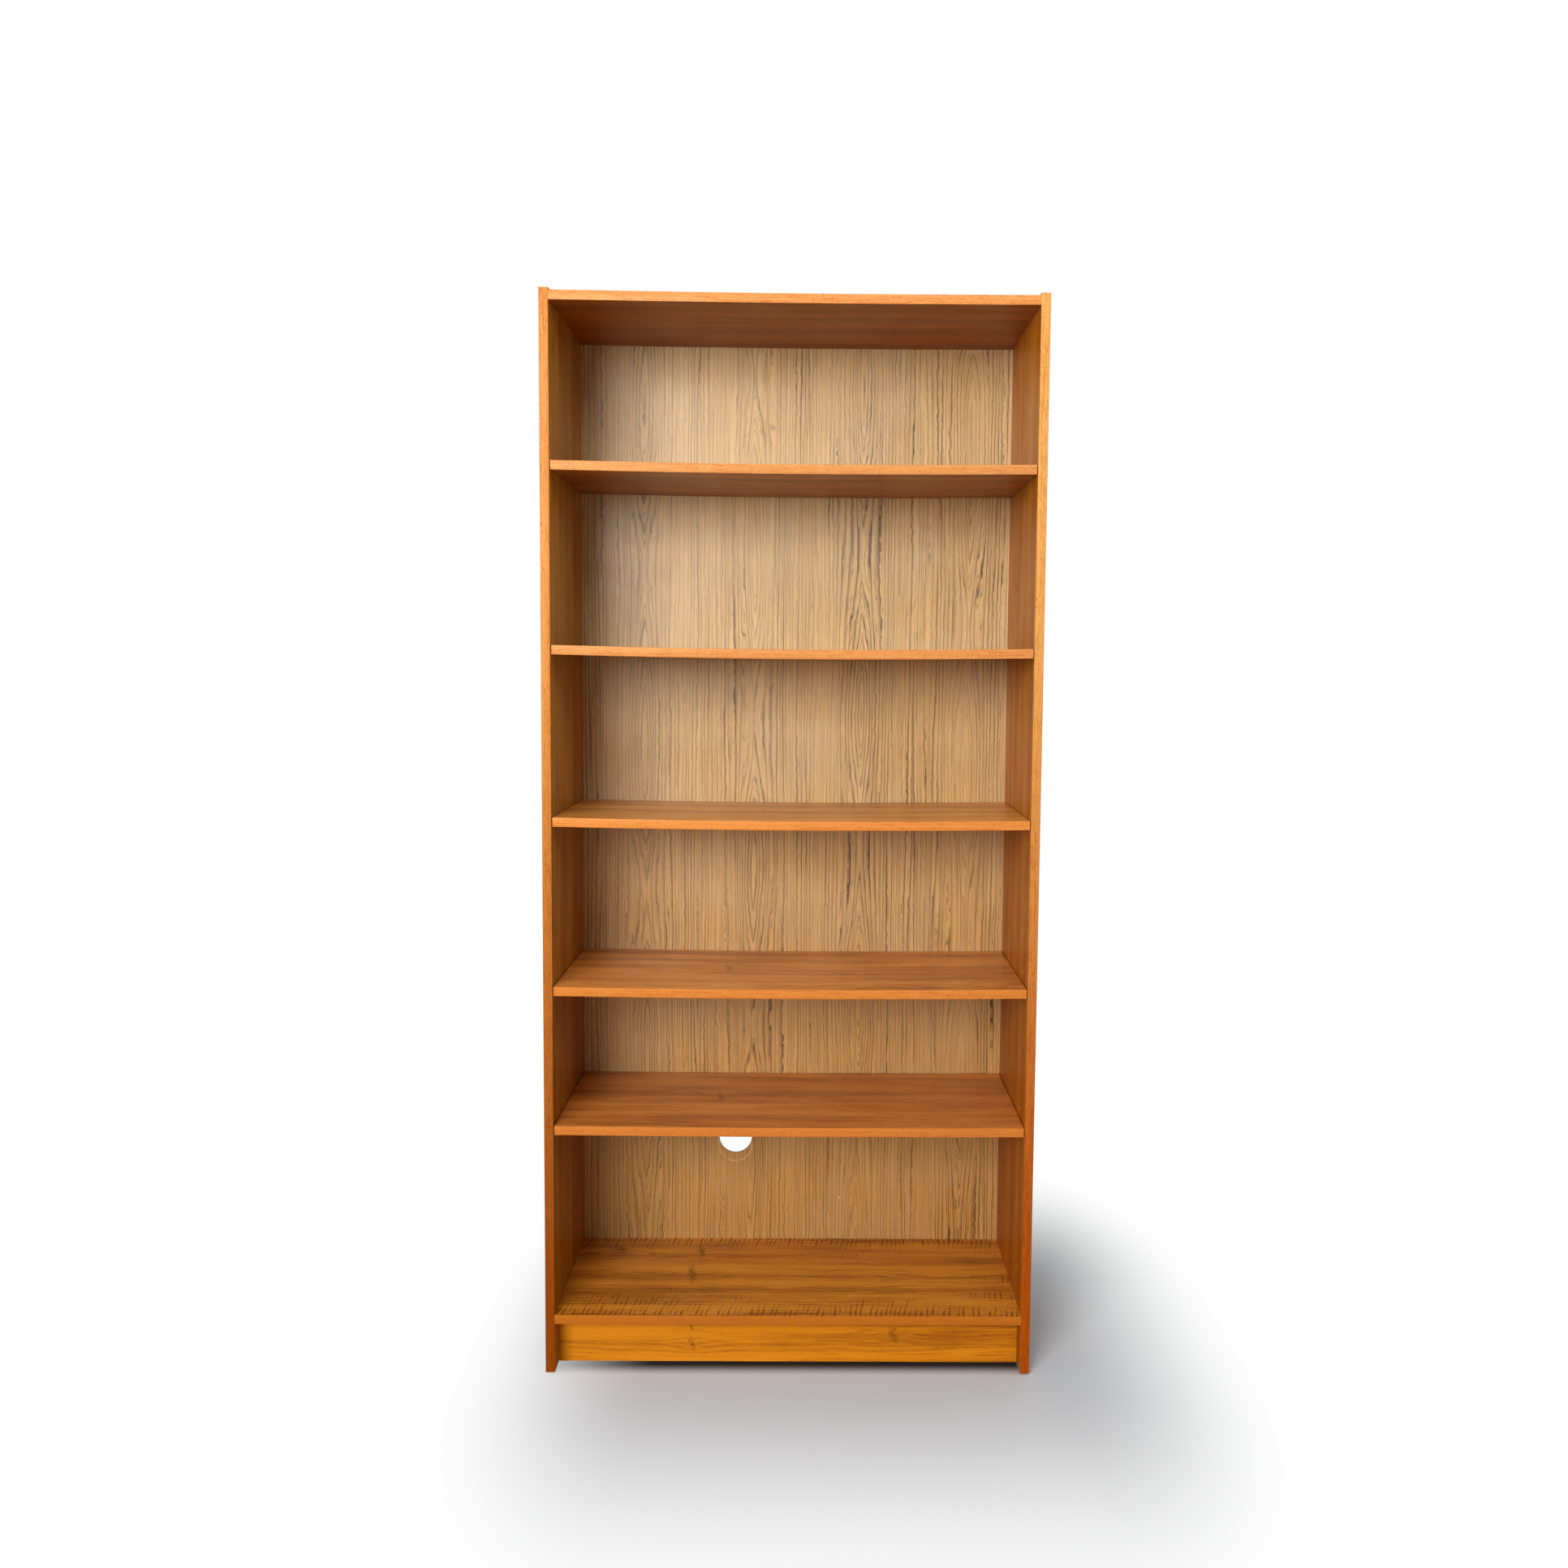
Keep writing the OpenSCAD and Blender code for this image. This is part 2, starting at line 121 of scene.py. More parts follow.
class Graph:
    """A shader node tree under construction, with short calls for the nodes that finishes use."""

    def __init__(self, tree: bpy.types.NodeTree) -> None:
        """Starts on an empty tree."""
        self.tree = tree
        tree.nodes.clear()

    def node(self, kind: str, inputs: dict | None = None, **settings) -> bpy.types.Node:
        """Adds a node.

        Args:
            kind: the node's type, without the ShaderNode prefix.
            inputs: a value or a socket for each named or numbered input.
            settings: the node's own properties.

        Returns:
            The new node.
        """
        made = self.tree.nodes.new("ShaderNode" + kind)
        for name, setting in settings.items():
            setattr(made, name, setting)
        for name, value in (inputs or {}).items():
            self.feed(made.inputs[name], value)
        return made

    def feed(self, target: Socket, value: Value | Colour) -> None:
        """Links a socket to an input, or writes a plain value on it."""
        if isinstance(value, bpy.types.NodeSocket):
            self.tree.links.new(value, target)
        elif target.type == "RGBA":
            target.default_value = (*value, 1.0)
        else:
            target.default_value = value

    def math(self, operation: str, a: Value, b: Value = 0.0, c: Value = 0.0) -> Socket:
        """One arithmetic step on values."""
        return self.node("Math", {0: a, 1: b, 2: c}, operation=operation).outputs[0]

    def add(self, a: Value, b: Value) -> Socket:
        """The sum of two values."""
        return self.math("ADD", a, b)

    def sub(self, a: Value, b: Value) -> Socket:
        """The first value less the second."""
        return self.math("SUBTRACT", a, b)

    def mul(self, a: Value, b: Value) -> Socket:
        """The product of two values."""
        return self.math("MULTIPLY", a, b)

    def div(self, a: Value, b: Value) -> Socket:
        """The first value over the second."""
        return self.math("DIVIDE", a, b)

    def times(self, a: Value, b: Value, plus: Value) -> Socket:
        """The product of two values, and something added."""
        return self.math("MULTIPLY_ADD", a, b, plus)

    def swing(self, pattern: Socket, reach: float, plus: Value) -> Socket:
        """Noise moved to lie about 0 and scaled, and something added."""
        return self.times(self.sub(pattern, 0.5), reach, plus)

    def distance(self, a: Socket, b: Socket) -> Socket:
        """How far a point with these two parts is from the middle."""
        return self.math("SQRT", self.times(a, a, self.mul(b, b)))

    def combine(self, x: Value, y: Value, z: Value = 0.0) -> Socket:
        """A vector from three values."""
        return self.node("CombineXYZ", {0: x, 1: y, 2: z}).outputs[0]

    def split(self, vector: Socket) -> tuple[Socket, Socket, Socket]:
        """The three values of a vector."""
        outputs = self.node("SeparateXYZ", {0: vector}).outputs
        return outputs[0], outputs[1], outputs[2]

    def noise(self, vector: Socket, scale: float = 1.0, detail: float = 2.0, rough: float = 0.5) -> Socket:
        """Smooth noise from 0 to 1, about 0.5 on average."""
        inputs = {"Vector": vector, "Scale": scale, "Detail": detail, "Roughness": rough}
        return self.node("TexNoise", inputs).outputs[0]

    def stretched(self, parts: tuple[Socket, Socket], rates: tuple[float, float], seed: Value,
                  detail: float = 2.0, rough: float = 0.5) -> Socket:
        """Noise on a flat pattern with its own rate along and across.

        Args:
            parts: the place along and across.
            rates: how many features there are in a metre, along and across.
            seed: picks another pattern.
            detail: how many finer layers are added.
            rough: how strong the finer layers are.

        Returns:
            The noise, from 0 to 1.
        """
        along = self.mul(parts[0], rates[0])
        across = self.mul(parts[1], rates[1])
        return self.noise(self.combine(along, across, seed), 1.0, detail, rough)

    def random(self, x: Value, y: Value) -> Socket:
        """A value from 0 to 1 that jumps for each pair of numbers."""
        place = {"Vector": self.combine(x, y)}
        return self.node("TexWhiteNoise", place, noise_dimensions="2D").outputs["Value"]

    def ramp(self, value: Socket, low: Value, high: Value, start: float = 0.0,
             end: float = 1.0) -> Socket:
        """Eases from start to end as the value goes from low to high."""
        inputs = {"Value": value, "From Min": low, "From Max": high, "To Min": start, "To Max": end}
        return self.node("MapRange", inputs, interpolation_type="SMOOTHSTEP").outputs[0]

    def mix(self, share: Value, a: Socket | Colour, b: Socket | Colour, way: str = "MIX") -> Socket:
        """Mixes two colours, or combines them in another way."""
        return self.node("Mix", {0: share, 6: a, 7: b}, data_type="RGBA", blend_type=way).outputs[2]

    def blend(self, share: Value, a: Value, b: Value) -> Socket:
        """Mixes two values."""
        return self.node("Mix", {0: share, 2: a, 3: b}, data_type="FLOAT").outputs[0]

    def bump(self, height: Socket, depth: float) -> Socket:
        """A surface normal from a height, where a height of 1 stands for depth metres."""
        return self.node("Bump", {"Strength": 1.0, "Distance": depth, "Height": height}).outputs["Normal"]

    def effect(self, group: bpy.types.NodeTree, **inputs) -> bpy.types.NodeOutputs:
        """Places a shared effect group.

        Args:
            group: the group.
            inputs: a value or a socket for each named input, with _ for a space.

        Returns:
            The group's outputs, by name.
        """
        made = self.tree.nodes.new("ShaderNodeGroup")
        made.node_tree = group
        for key, value in inputs.items():
            self.feed(made.inputs[key.replace("_", " ")], value)
        return made.outputs


class EffectGroup(Graph):
    """A shared node group under construction, with named inputs and outputs."""

    def __init__(self, name: str, inputs: dict[str, float | None]) -> None:
        """Makes the group with its inputs; an input without a default value is a vector."""
        super().__init__(bpy.data.node_groups.new(name, "ShaderNodeTree"))
        for key, default in inputs.items():
            kind = "NodeSocketVector" if default is None else "NodeSocketFloat"
            made = self.tree.interface.new_socket(name=key, in_out="INPUT", socket_type=kind)
            if default is not None:
                made.default_value = default
        self.inputs = self.tree.nodes.new("NodeGroupInput").outputs

    def done(self, **values: Socket) -> bpy.types.NodeTree:
        """Gives the group its outputs and returns it."""
        for key in values:
            self.tree.interface.new_socket(name=key, in_out="OUTPUT", socket_type="NodeSocketFloat")
        ends = self.tree.nodes.new("NodeGroupOutput")
        for key, value in values.items():
            self.feed(ends.inputs[key], value)
        return self.tree


# ---------------------------------------------------------------- shared effects


@cache
def figure_group() -> bpy.types.NodeTree:
    """Growth lines of flat-cut timber: straight lines that close into arches round evenly spaced centres."""
    group = EffectGroup("figure", {"Vector": None, "Pitch": 0.006, "Spacing": 0.2, "Offset": 0.0,
                                   "Arch Height": 0.03, "Arch Width": 0.04, "Arch Length": 0.6,
                                   "Wander": 0.003, "Line Width": 0.5, "Shift": 0.0, "Seed": 0.0})
    at = group.inputs
    seed = at["Seed"]
    along, across, _ = group.split(at["Vector"])
    drift = group.sub(group.stretched((along, across), (3.0, 9.0), seed, detail=3.0), 0.5)
    tremble = group.sub(group.stretched((along, across), (50.0, 55.0), seed, detail=3.0), 0.5)
    drift = group.mul(group.times(tremble, 0.35, drift), group.mul(at["Wander"], 2.0))
    placed = group.add(group.add(across, at["Offset"]), drift)
    cell = group.math("FLOOR", group.div(placed, at["Spacing"]))
    middle = group.mul(group.add(cell, 0.5), at["Spacing"])
    local = group.sub(placed, middle)
    turns = group.div(group.mul(along, math.tau), at["Arch Length"])
    loose = group.noise(group.combine(group.div(along, at["Arch Length"]),
                                      group.times(cell, 17.3, seed)), detail=1.0)
    swing = group.math("SINE", group.times(cell, 2.3, group.times(loose, 5.0, turns)))
    wave = group.mul(group.swing(loose, 1.2, swing), at["Arch Height"])
    ratio = group.div(local, at["Arch Width"])
    nearness = group.math("EXPONENT", group.mul(group.mul(ratio, ratio), -1.0))
    heart_width = 0.002
    reach = group.math("SQRT", group.times(local, local, heart_width**2))
    rings = group.add(group.times(wave, nearness, reach), at["Shift"])
    uneven = group.stretched((along, across), (0.7, 14.0), group.add(seed, 5.0))
    fine = group.stretched((along, across), (1.2, 65.0), group.add(seed, 8.0))
    phase = group.times(uneven, 5.0, group.times(fine, 2.0, group.div(rings, at["Pitch"])))
    ring = group.math("FLOOR", phase)
    share = group.math("FRACT", phase)
    darkest = 0.88
    start = group.sub(darkest, at["Line Width"])
    line = group.mul(group.ramp(share, start, darkest), group.ramp(share, 0.90, 1.0, 1.0, 0.0))
    strength = group.ramp(group.random(ring, group.add(cell, seed)), 0.0, 0.7, 0.42, 0.88)
    fade = group.noise(group.combine(group.mul(along, 8.0), group.times(ring, 7.7, cell), seed),
                       1.0, detail=4.0, rough=0.65)
    line = group.mul(group.mul(line, strength), group.ramp(fade, 0.32, 0.56, 0.35, 1.0))
    line = group.mul(line, group.ramp(group.math("ABSOLUTE", local), 0.0, 0.005, 0.5, 1.0))
    hairs = group.math("FRACT", group.times(group.random(ring, seed), 0.7, group.mul(phase, 2.6)))
    hair = group.mul(group.ramp(hairs, 0.55, 0.85), group.ramp(hairs, 0.88, 1.0, 1.0, 0.0))
    hair = group.mul(hair, group.ramp(fade, 0.42, 0.60, 1.0, 0.0))
    bands = group.stretched((along, across), (0.9, 22.0), group.add(seed, 11.0), detail=4.0, rough=0.6)
    return group.done(Lines=line, Hairs=hair, Bands=bands)


@cache
def fibre_group() -> bpy.types.NodeTree:
    """Fine fibres and short open pores that run along the grain."""
    group = EffectGroup("fibre", {"Vector": None, "Length": 0.02, "Coarseness": 1.0, "Seed": 0.0})
    along, across, through = group.split(group.inputs["Vector"])
    run = group.div(along, group.inputs["Length"])
    across = group.div(across, group.inputs["Coarseness"])
    deep = group.times(through, 900.0, group.inputs["Seed"])
    fine = group.stretched((run, across), (0.5, 700.0), deep, detail=3.0, rough=0.65)
    dash = group.stretched((run, across), (1.8, 1300.0), deep, detail=1.0)
    return group.done(Fibres=fine, Pores=group.ramp(dash, 0.60, 0.72))


@cache
def knot_group() -> bpy.types.NodeTree:
    """A small knot: a dark ragged eye, and how far it pushes the growth lines aside."""
    group = EffectGroup("knot", {"Vector": None, "Along": 0.0, "Across": 0.0, "Size": 0.012,
                                 "Stretch": 1.0, "Seed": 0.0})
    at = group.inputs
    along, across, _ = group.split(at["Vector"])
    ragged = group.stretched((along, across), (230.0, 120.0), at["Seed"], detail=3.0, rough=0.65)
    gap_along = group.div(group.sub(along, at["Along"]), at["Size"])
    gap_across = group.div(group.sub(across, at["Across"]), group.mul(at["Size"], at["Stretch"]))
    leaning = group.mul(group.times(gap_across, 0.35, gap_along), 1.7)
    far = group.distance(leaning, gap_across)
    eye = group.ramp(group.swing(ragged, 4.2, far), 0.0, 1.2, 1.0, 0.0)
    apart = group.times(group.mul(gap_along, gap_along), 0.12, group.mul(gap_across, gap_across))
    push = group.mul(group.math("EXPONENT", group.mul(apart, -0.5)), at["Size"])
    return group.done(Eye=eye, Push=push)


@cache
def curl_group() -> bpy.types.NodeTree:
    """Curly figure: slanted dark strokes over the grain, near a board's long edges and in patches."""
    group = EffectGroup("curl", {"Vector": None, "Low Edge": -0.15, "High Edge": 0.15, "Band": 0.03,
                                 "Patches": 0.0, "Seed": 0.0})
    at = group.inputs
    along, across, _ = group.split(at["Vector"])
    wobble = group.stretched((along, across), (9.0, 30.0), at["Seed"])
    uneven = group.stretched((along, across), (11.0, 9.0), group.add(at["Seed"], 6.0), detail=2.0)
    slanted = group.times(uneven, 0.026, group.times(across, -0.14, along))
    stroke_pitch = 0.0092
    comb = group.ramp(group.math("SINE", group.mul(slanted, math.tau / stroke_pitch)), -0.1, 0.9)
    broken = group.stretched((slanted, across), (75.0, 15.0), at["Seed"], detail=2.0)
    stroke = group.mul(comb, group.ramp(broken, 0.40, 0.58))
    edge = group.math("MINIMUM", group.sub(across, at["Low Edge"]), group.sub(at["High Edge"], across))
    edge = group.swing(wobble, 0.03, edge)
    near = group.ramp(edge, 0.0, at["Band"], 1.0, 0.0)
    cloud = group.stretched((along, across), (4.0, 16.0), group.add(at["Seed"], 3.0))
    patch = group.mul(group.ramp(cloud, 0.56, 0.70), at["Patches"])
    along_edge = group.mul(near, group.ramp(cloud, 0.34, 0.56, 0.8, 1.0))
    return group.done(Strokes=group.mul(stroke, group.math("MAXIMUM", along_edge, patch)))


@cache
def flake_group() -> bpy.types.NodeTree:
    """Pressed wood flakes and the gaps between them, as on a raw edge of particle board."""
    group = EffectGroup("flakes", {"Vector": None})
    point = group.inputs["Vector"]
    cells = group.node("TexVoronoi", {"Vector": point, "Scale": 520.0})
    tone = group.split(cells.outputs["Color"])[0]
    coarse = group.noise(point, 260.0, 4.0, 0.7)
    gaps = group.ramp(group.noise(point, 900.0, 2.0), 0.60, 0.72)
    return group.done(Flakes=group.times(tone, 0.6, group.mul(coarse, 0.4)), Gaps=gaps)


@cache
def use_group() -> bpy.types.NodeTree:
    """Use: hazy wipe marks in the lacquer, and dust that settles on faces that look up."""
    group = EffectGroup("use", {"Vector": None, "Normal": None, "Seed": 0.0})
    x, y, z = group.split(group.inputs["Vector"])
    shifted = group.times(z, 5.0, group.inputs["Seed"])
    place = group.combine(group.mul(x, 5.0), group.mul(y, 6.0), shifted)
    haze = group.ramp(group.noise(place, 1.0, 5.0, 0.62), 0.38, 0.68)
    up = group.ramp(group.split(group.inputs["Normal"])[2], 0.7, 0.95)
    specks = group.ramp(group.noise(group.inputs["Vector"], 420.0, 3.0, 0.7), 0.52, 0.75)
    return group.done(Haze=haze, Dust=group.mul(up, specks))


@cache
def foot_shade_group() -> bpy.types.NodeTree:
    """A wavy height mask: 1 on the upper part of a tall piece, down to 0 near its foot, for darkening that
    is partly sun bleaching and partly painted shade where the light falls off lower down.
    """
    group = EffectGroup("darken_to_foot", {"Vector": None, "Low": 0.1, "High": 1.4})
    x, _, z = group.split(group.inputs["Vector"])
    height = group.swing(group.stretched((x, z), (2.0, 1.5), 0.0), 0.15, z)
    return group.done(Bleach=group.ramp(height, group.inputs["Low"], group.inputs["High"]))


@cache
def edge_wear_group() -> bpy.types.NodeTree:
    """Rubbed arrises along the two long sides of a strip, with a few chips."""
    group = EffectGroup("edge wear", {"Vector": None, "Low Side": 0.0, "High Side": 0.016, "Reach": 0.0012,
                                      "Seed": 0.0})
    at = group.inputs
    along, across, _ = group.split(at["Vector"])
    gap = group.math("MINIMUM", group.sub(across, at["Low Side"]), group.sub(at["High Side"], across))
    ragged = group.stretched((along, across), (120.0, 300.0), at["Seed"], detail=3.0)
    near = group.ramp(gap, 0.0, group.mul(at["Reach"], group.mul(ragged, 2.0)), 1.0, 0.0)
    sparse = group.stretched((along, across), (16.0, 40.0), group.add(at["Seed"], 7.0), 4.0, 0.7)
    return group.done(Rub=near, Chips=group.mul(near, group.ramp(sparse, 0.70, 0.74)))


# ---------------------------------------------------------------- finishes

# The warm cast that the lacquer gives to light reflected off the veneer.
VARNISH: Colour = (1.0, 0.80, 0.35)


@dataclass(frozen=True)
class Finish:
    """A named finish. A subclass says how its surface is made."""

    name: str

    def begin(self, **fixed: float | Colour) -> tuple[bpy.types.Material, Graph, bpy.types.Node]:
        """Makes the empty material with its shader and output.

        Args:
            fixed: plain values for the shader's own inputs, with _ for a space.

        Returns:
            The material, its graph and its Principled shader.
        """
        material = bpy.data.materials.new(self.name)
        material.use_nodes = True
        graph = Graph(material.node_tree)
        shader = graph.node("BsdfPrincipled", {key.replace("_", " "): value for key, value in fixed.items()})
        graph.node("OutputMaterial", {"Surface": shader.outputs[0]})
        return material, graph, shader

    def build(self) -> bpy.types.Material:
        """Makes the material."""
        raise NotImplementedError

    @staticmethod
    def surface(graph: Graph, shader: bpy.types.Node, colour: Socket, roughness: Socket,
                normal: Socket) -> None:
        """Gives the shader its colour, roughness and relief."""
        for key, value in {"Base Color": colour, "Roughness": roughness, "Normal": normal}.items():
            graph.feed(shader.inputs[key], value)

    @staticmethod
    def place(graph: Graph, grain: Grain) -> tuple[Socket, Socket, Socket]:
        """Reads where a point lies.

        Args:
            graph: the material's graph.
            grain: which way the grain runs.

        Returns:
            The point in the case's own axes, the point in grain axes, and the surface's normal.
        """
        coordinates = graph.node("TexCoord").outputs
        axes = dict(zip("xyz", graph.split(coordinates["Object"]), strict=True))
        turned = graph.combine(*(axes[letter] for letter in grain.value))
        return coordinates["Object"], turned, coordinates["Normal"]

    @staticmethod
    def darken_to_foot(graph: Graph, point: Socket, colour: Socket, foot_shade_tint: Colour, high: float = 1.4) -> Socket:
        """Leaves a tall piece darker and deeper in colour towards its foot, partly as sun bleaching of its
        upper part and partly as painted shade where the light falls off lower down.

        Args:
            graph: the material's graph.
            point: the point in the case's own axes.
            colour: the colour of the piece's upper part.
            foot_shade_tint: what that colour is multiplied by near the floor.
            high: the height from which the piece keeps its own colour.

        Returns:
            The colour at the point.
        """
        made = graph.effect(foot_shade_group(), Vector=point, Low=0.05, High=high)
        tint = graph.mix(made["Bleach"], foot_shade_tint, (1.0, 1.0, 1.0))
        return graph.mix(1.0, colour, tint, "MULTIPLY")

    @staticmethod
    def faces_along(graph: Graph, normal: Socket, axis: str) -> Socket:
        """A mask that is 1 on faces that look along an axis, either way, and 0 on the others."""
        part = graph.split(normal)["xyz".index(axis)]
        return graph.ramp(graph.math("ABSOLUTE", part), 0.6, 0.8)


@dataclass(frozen=True)
class Knot:
    """A knot's place along and across the grain, its size, in metres, and how far it stretches across."""

    along: float
    across: float
    size: float
    stretch: float = 1.0


@dataclass(frozen=True)
class Curl:
    """Where a board has curly figure: its two long edges, the band along them, and the patches elsewhere."""

    low_edge: float
    high_edge: float
    band: float
    patches: float


@dataclass(frozen=True)
class Veneer(Finish):
    """Lacquered teak-like face veneer on particle board, whose unveneered edges show flakes."""

    grain: Grain = Grain.BOARD_FLAT
    veneered: str = "z"
    light: Colour = srgb(205, 116, 52)
    dark: Colour = srgb(138, 62, 20)
    line_strength: float = 0.5
    pitch: float = 0.0055
    spacing: float = 0.16
    arch: float = 0.012
    seed: float = 0.0
    knots: tuple[Knot, ...] = ()
    curl: Curl | None = None
    foot_shade_tint: Colour | None = None
    gloss: float = 0.2
    roughness: float = 0.36

    def build(self) -> bpy.types.Material:
        """Makes the material."""
        material, graph, shader = self.begin(Coat_Weight=self.gloss, Coat_Roughness=0.16,
                                             Specular_IOR_Level=0.35, Specular_Tint=VARNISH)
        point, grained, normal = self.place(graph, self.grain)
        use = graph.effect(use_group(), Vector=point, Normal=normal, Seed=self.seed)
        depth, lines, pores, eyes = self.timber(graph, grained)
        colour = graph.mix(graph.ramp(depth, 0.0, 1.0), self.light, self.dark)
        for eye in eyes:
            colour = graph.mix(graph.mul(eye, 0.7), colour, tuple(0.5 * part for part in self.dark))
        # Darker towards the foot: partly painted shade where the light falls off lower down.
        if self.foot_shade_tint:
            colour = self.darken_to_foot(graph, point, colour, self.foot_shade_tint)
        colour = graph.mix(graph.mul(use["Dust"], 0.05), colour, srgb(190, 180, 165))
        flakes = graph.effect(flake_group(), Vector=point)
        raw = graph.mix(flakes["Flakes"], srgb(122, 88, 54), srgb(196, 160, 112))
        raw = graph.mix(graph.mul(flakes["Gaps"], 0.6), raw, srgb(70, 48, 28))
        face = self.faces_along(graph, normal, self.veneered)
        lacquered = graph.times(use["Haze"], 0.12, graph.times(pores, 0.10, self.roughness))
        height = graph.times(pores, -0.5, graph.mul(lines, -0.3))
        bumpy = graph.mul(flakes["Gaps"], -3.0)
        self.surface(graph, shader, graph.mix(face, raw, colour), graph.blend(face, 0.85, lacquered),
                     graph.bump(graph.blend(face, bumpy, height), 0.06 * MM))
        return material

    def timber(self, graph: Graph, grained: Socket) -> tuple[Socket, Socket, Socket, list[Socket]]:
        """Puts the veneer's figure together.

        Args:
            graph: the material's graph.
            grained: the point in grain axes.

        Returns:
            How dark the wood is, its growth lines, its pores, and an eye for each knot.
        """
        push: Value = 0.0
        eyes: list[Socket] = []
        for number, knot in enumerate(self.knots):
            made = graph.effect(knot_group(), Vector=grained, Along=knot.along, Across=knot.across,
                                Size=knot.size, Stretch=knot.stretch, Seed=self.seed + number)
            push = graph.add(push, made["Push"])
            eyes.append(made["Eye"])
        figure = graph.effect(figure_group(), Vector=grained, Pitch=self.pitch, Spacing=self.spacing,
                              Offset=self.seed * 0.037, Arch_Height=self.arch, Arch_Width=0.035,
                              Arch_Length=0.9, Wander=0.006, Line_Width=0.68, Shift=push, Seed=self.seed)
        fibre = graph.effect(fibre_group(), Vector=grained, Length=0.03, Seed=self.seed)
        depth = graph.times(graph.ramp(figure["Bands"], 0.32, 0.68), 0.55,
                            graph.mul(figure["Lines"], self.line_strength))
        depth = graph.swing(fibre["Fibres"], 0.95, depth)
        depth = graph.times(fibre["Pores"], 0.22, depth)
        along, across, _ = graph.split(grained)
        mottle = graph.stretched((along, across), (6.0, 26.0), self.seed + 2.0, detail=4.0, rough=0.6)
        depth = graph.swing(mottle, 0.8, depth)
        if self.curl:
            made = graph.effect(curl_group(), Vector=grained, Low_Edge=self.curl.low_edge,
                                High_Edge=self.curl.high_edge, Band=self.curl.band,
                                Patches=self.curl.patches, Seed=self.seed)
            depth = graph.times(made["Strokes"], 0.9, depth)
        return depth, figure["Lines"], fibre["Pores"], eyes


@dataclass(frozen=True)
class Edging(Finish):
    """Lighter lacquered veneer edging, with dark open pores and rubbed arrises."""

    grain: Grain = Grain.BOARD_UPRIGHT
    low_side: float = 0.0
    high_side: float = 0.016
    light: Colour = srgb(236, 158, 84)
    dark: Colour = srgb(176, 88, 34)
    foot_shade_tint: Colour | None = None
    untinted_from: float = 1.4
    seed: float = 0.0

    def build(self) -> bpy.types.Material:
        """Makes the material."""
        material, graph, shader = self.begin(Coat_Weight=0.05, Coat_Roughness=0.2, Specular_IOR_Level=0.3,
                                             Specular_Tint=VARNISH)
        point, grained, normal = self.place(graph, self.grain)
        fibre = graph.effect(fibre_group(), Vector=grained, Length=0.011, Coarseness=1.3, Seed=self.seed)
        figure = graph.effect(figure_group(), Vector=grained, Pitch=0.004, Spacing=0.05,
                              Offset=self.seed * 0.013, Arch_Height=0.004, Arch_Width=0.015, Arch_Length=0.8,
                              Wander=0.003, Line_Width=0.55, Seed=self.seed)
        depth = graph.times(graph.ramp(figure["Bands"], 0.28, 0.72), 0.42, graph.mul(figure["Lines"], 0.34))
        depth = graph.swing(fibre["Fibres"], 0.9, depth)
        along, across, _ = graph.split(grained)
        mottle = graph.stretched((along, across), (30.0, 170.0), self.seed + 1.0, detail=3.0, rough=0.6)
        depth = graph.swing(mottle, 0.9, depth)
        depth = graph.times(fibre["Pores"], 0.7, depth)
        colour = graph.mix(graph.ramp(depth, 0.0, 1.1), self.light, self.dark)
        # Darker towards the foot: partly painted shade where the light falls off lower down.
        if self.foot_shade_tint:
            colour = self.darken_to_foot(graph, point, colour, self.foot_shade_tint, self.untinted_from)
        wear = graph.effect(edge_wear_group(), Vector=grained, Low_Side=self.low_side,
                            High_Side=self.high_side, Reach=0.0010, Seed=self.seed)
        colour = graph.mix(graph.mul(wear["Rub"], 0.35), colour, self.dark)
        colour = graph.mix(wear["Chips"], colour, srgb(236, 205, 160))
        use = graph.effect(use_group(), Vector=point, Normal=normal, Seed=self.seed)
        height = graph.times(fibre["Pores"], -1.0, graph.mul(wear["Chips"], -2.0))
        self.surface(graph, shader, colour, graph.times(use["Haze"], 0.12, 0.36),
                     graph.bump(height, 0.08 * MM))
        return material


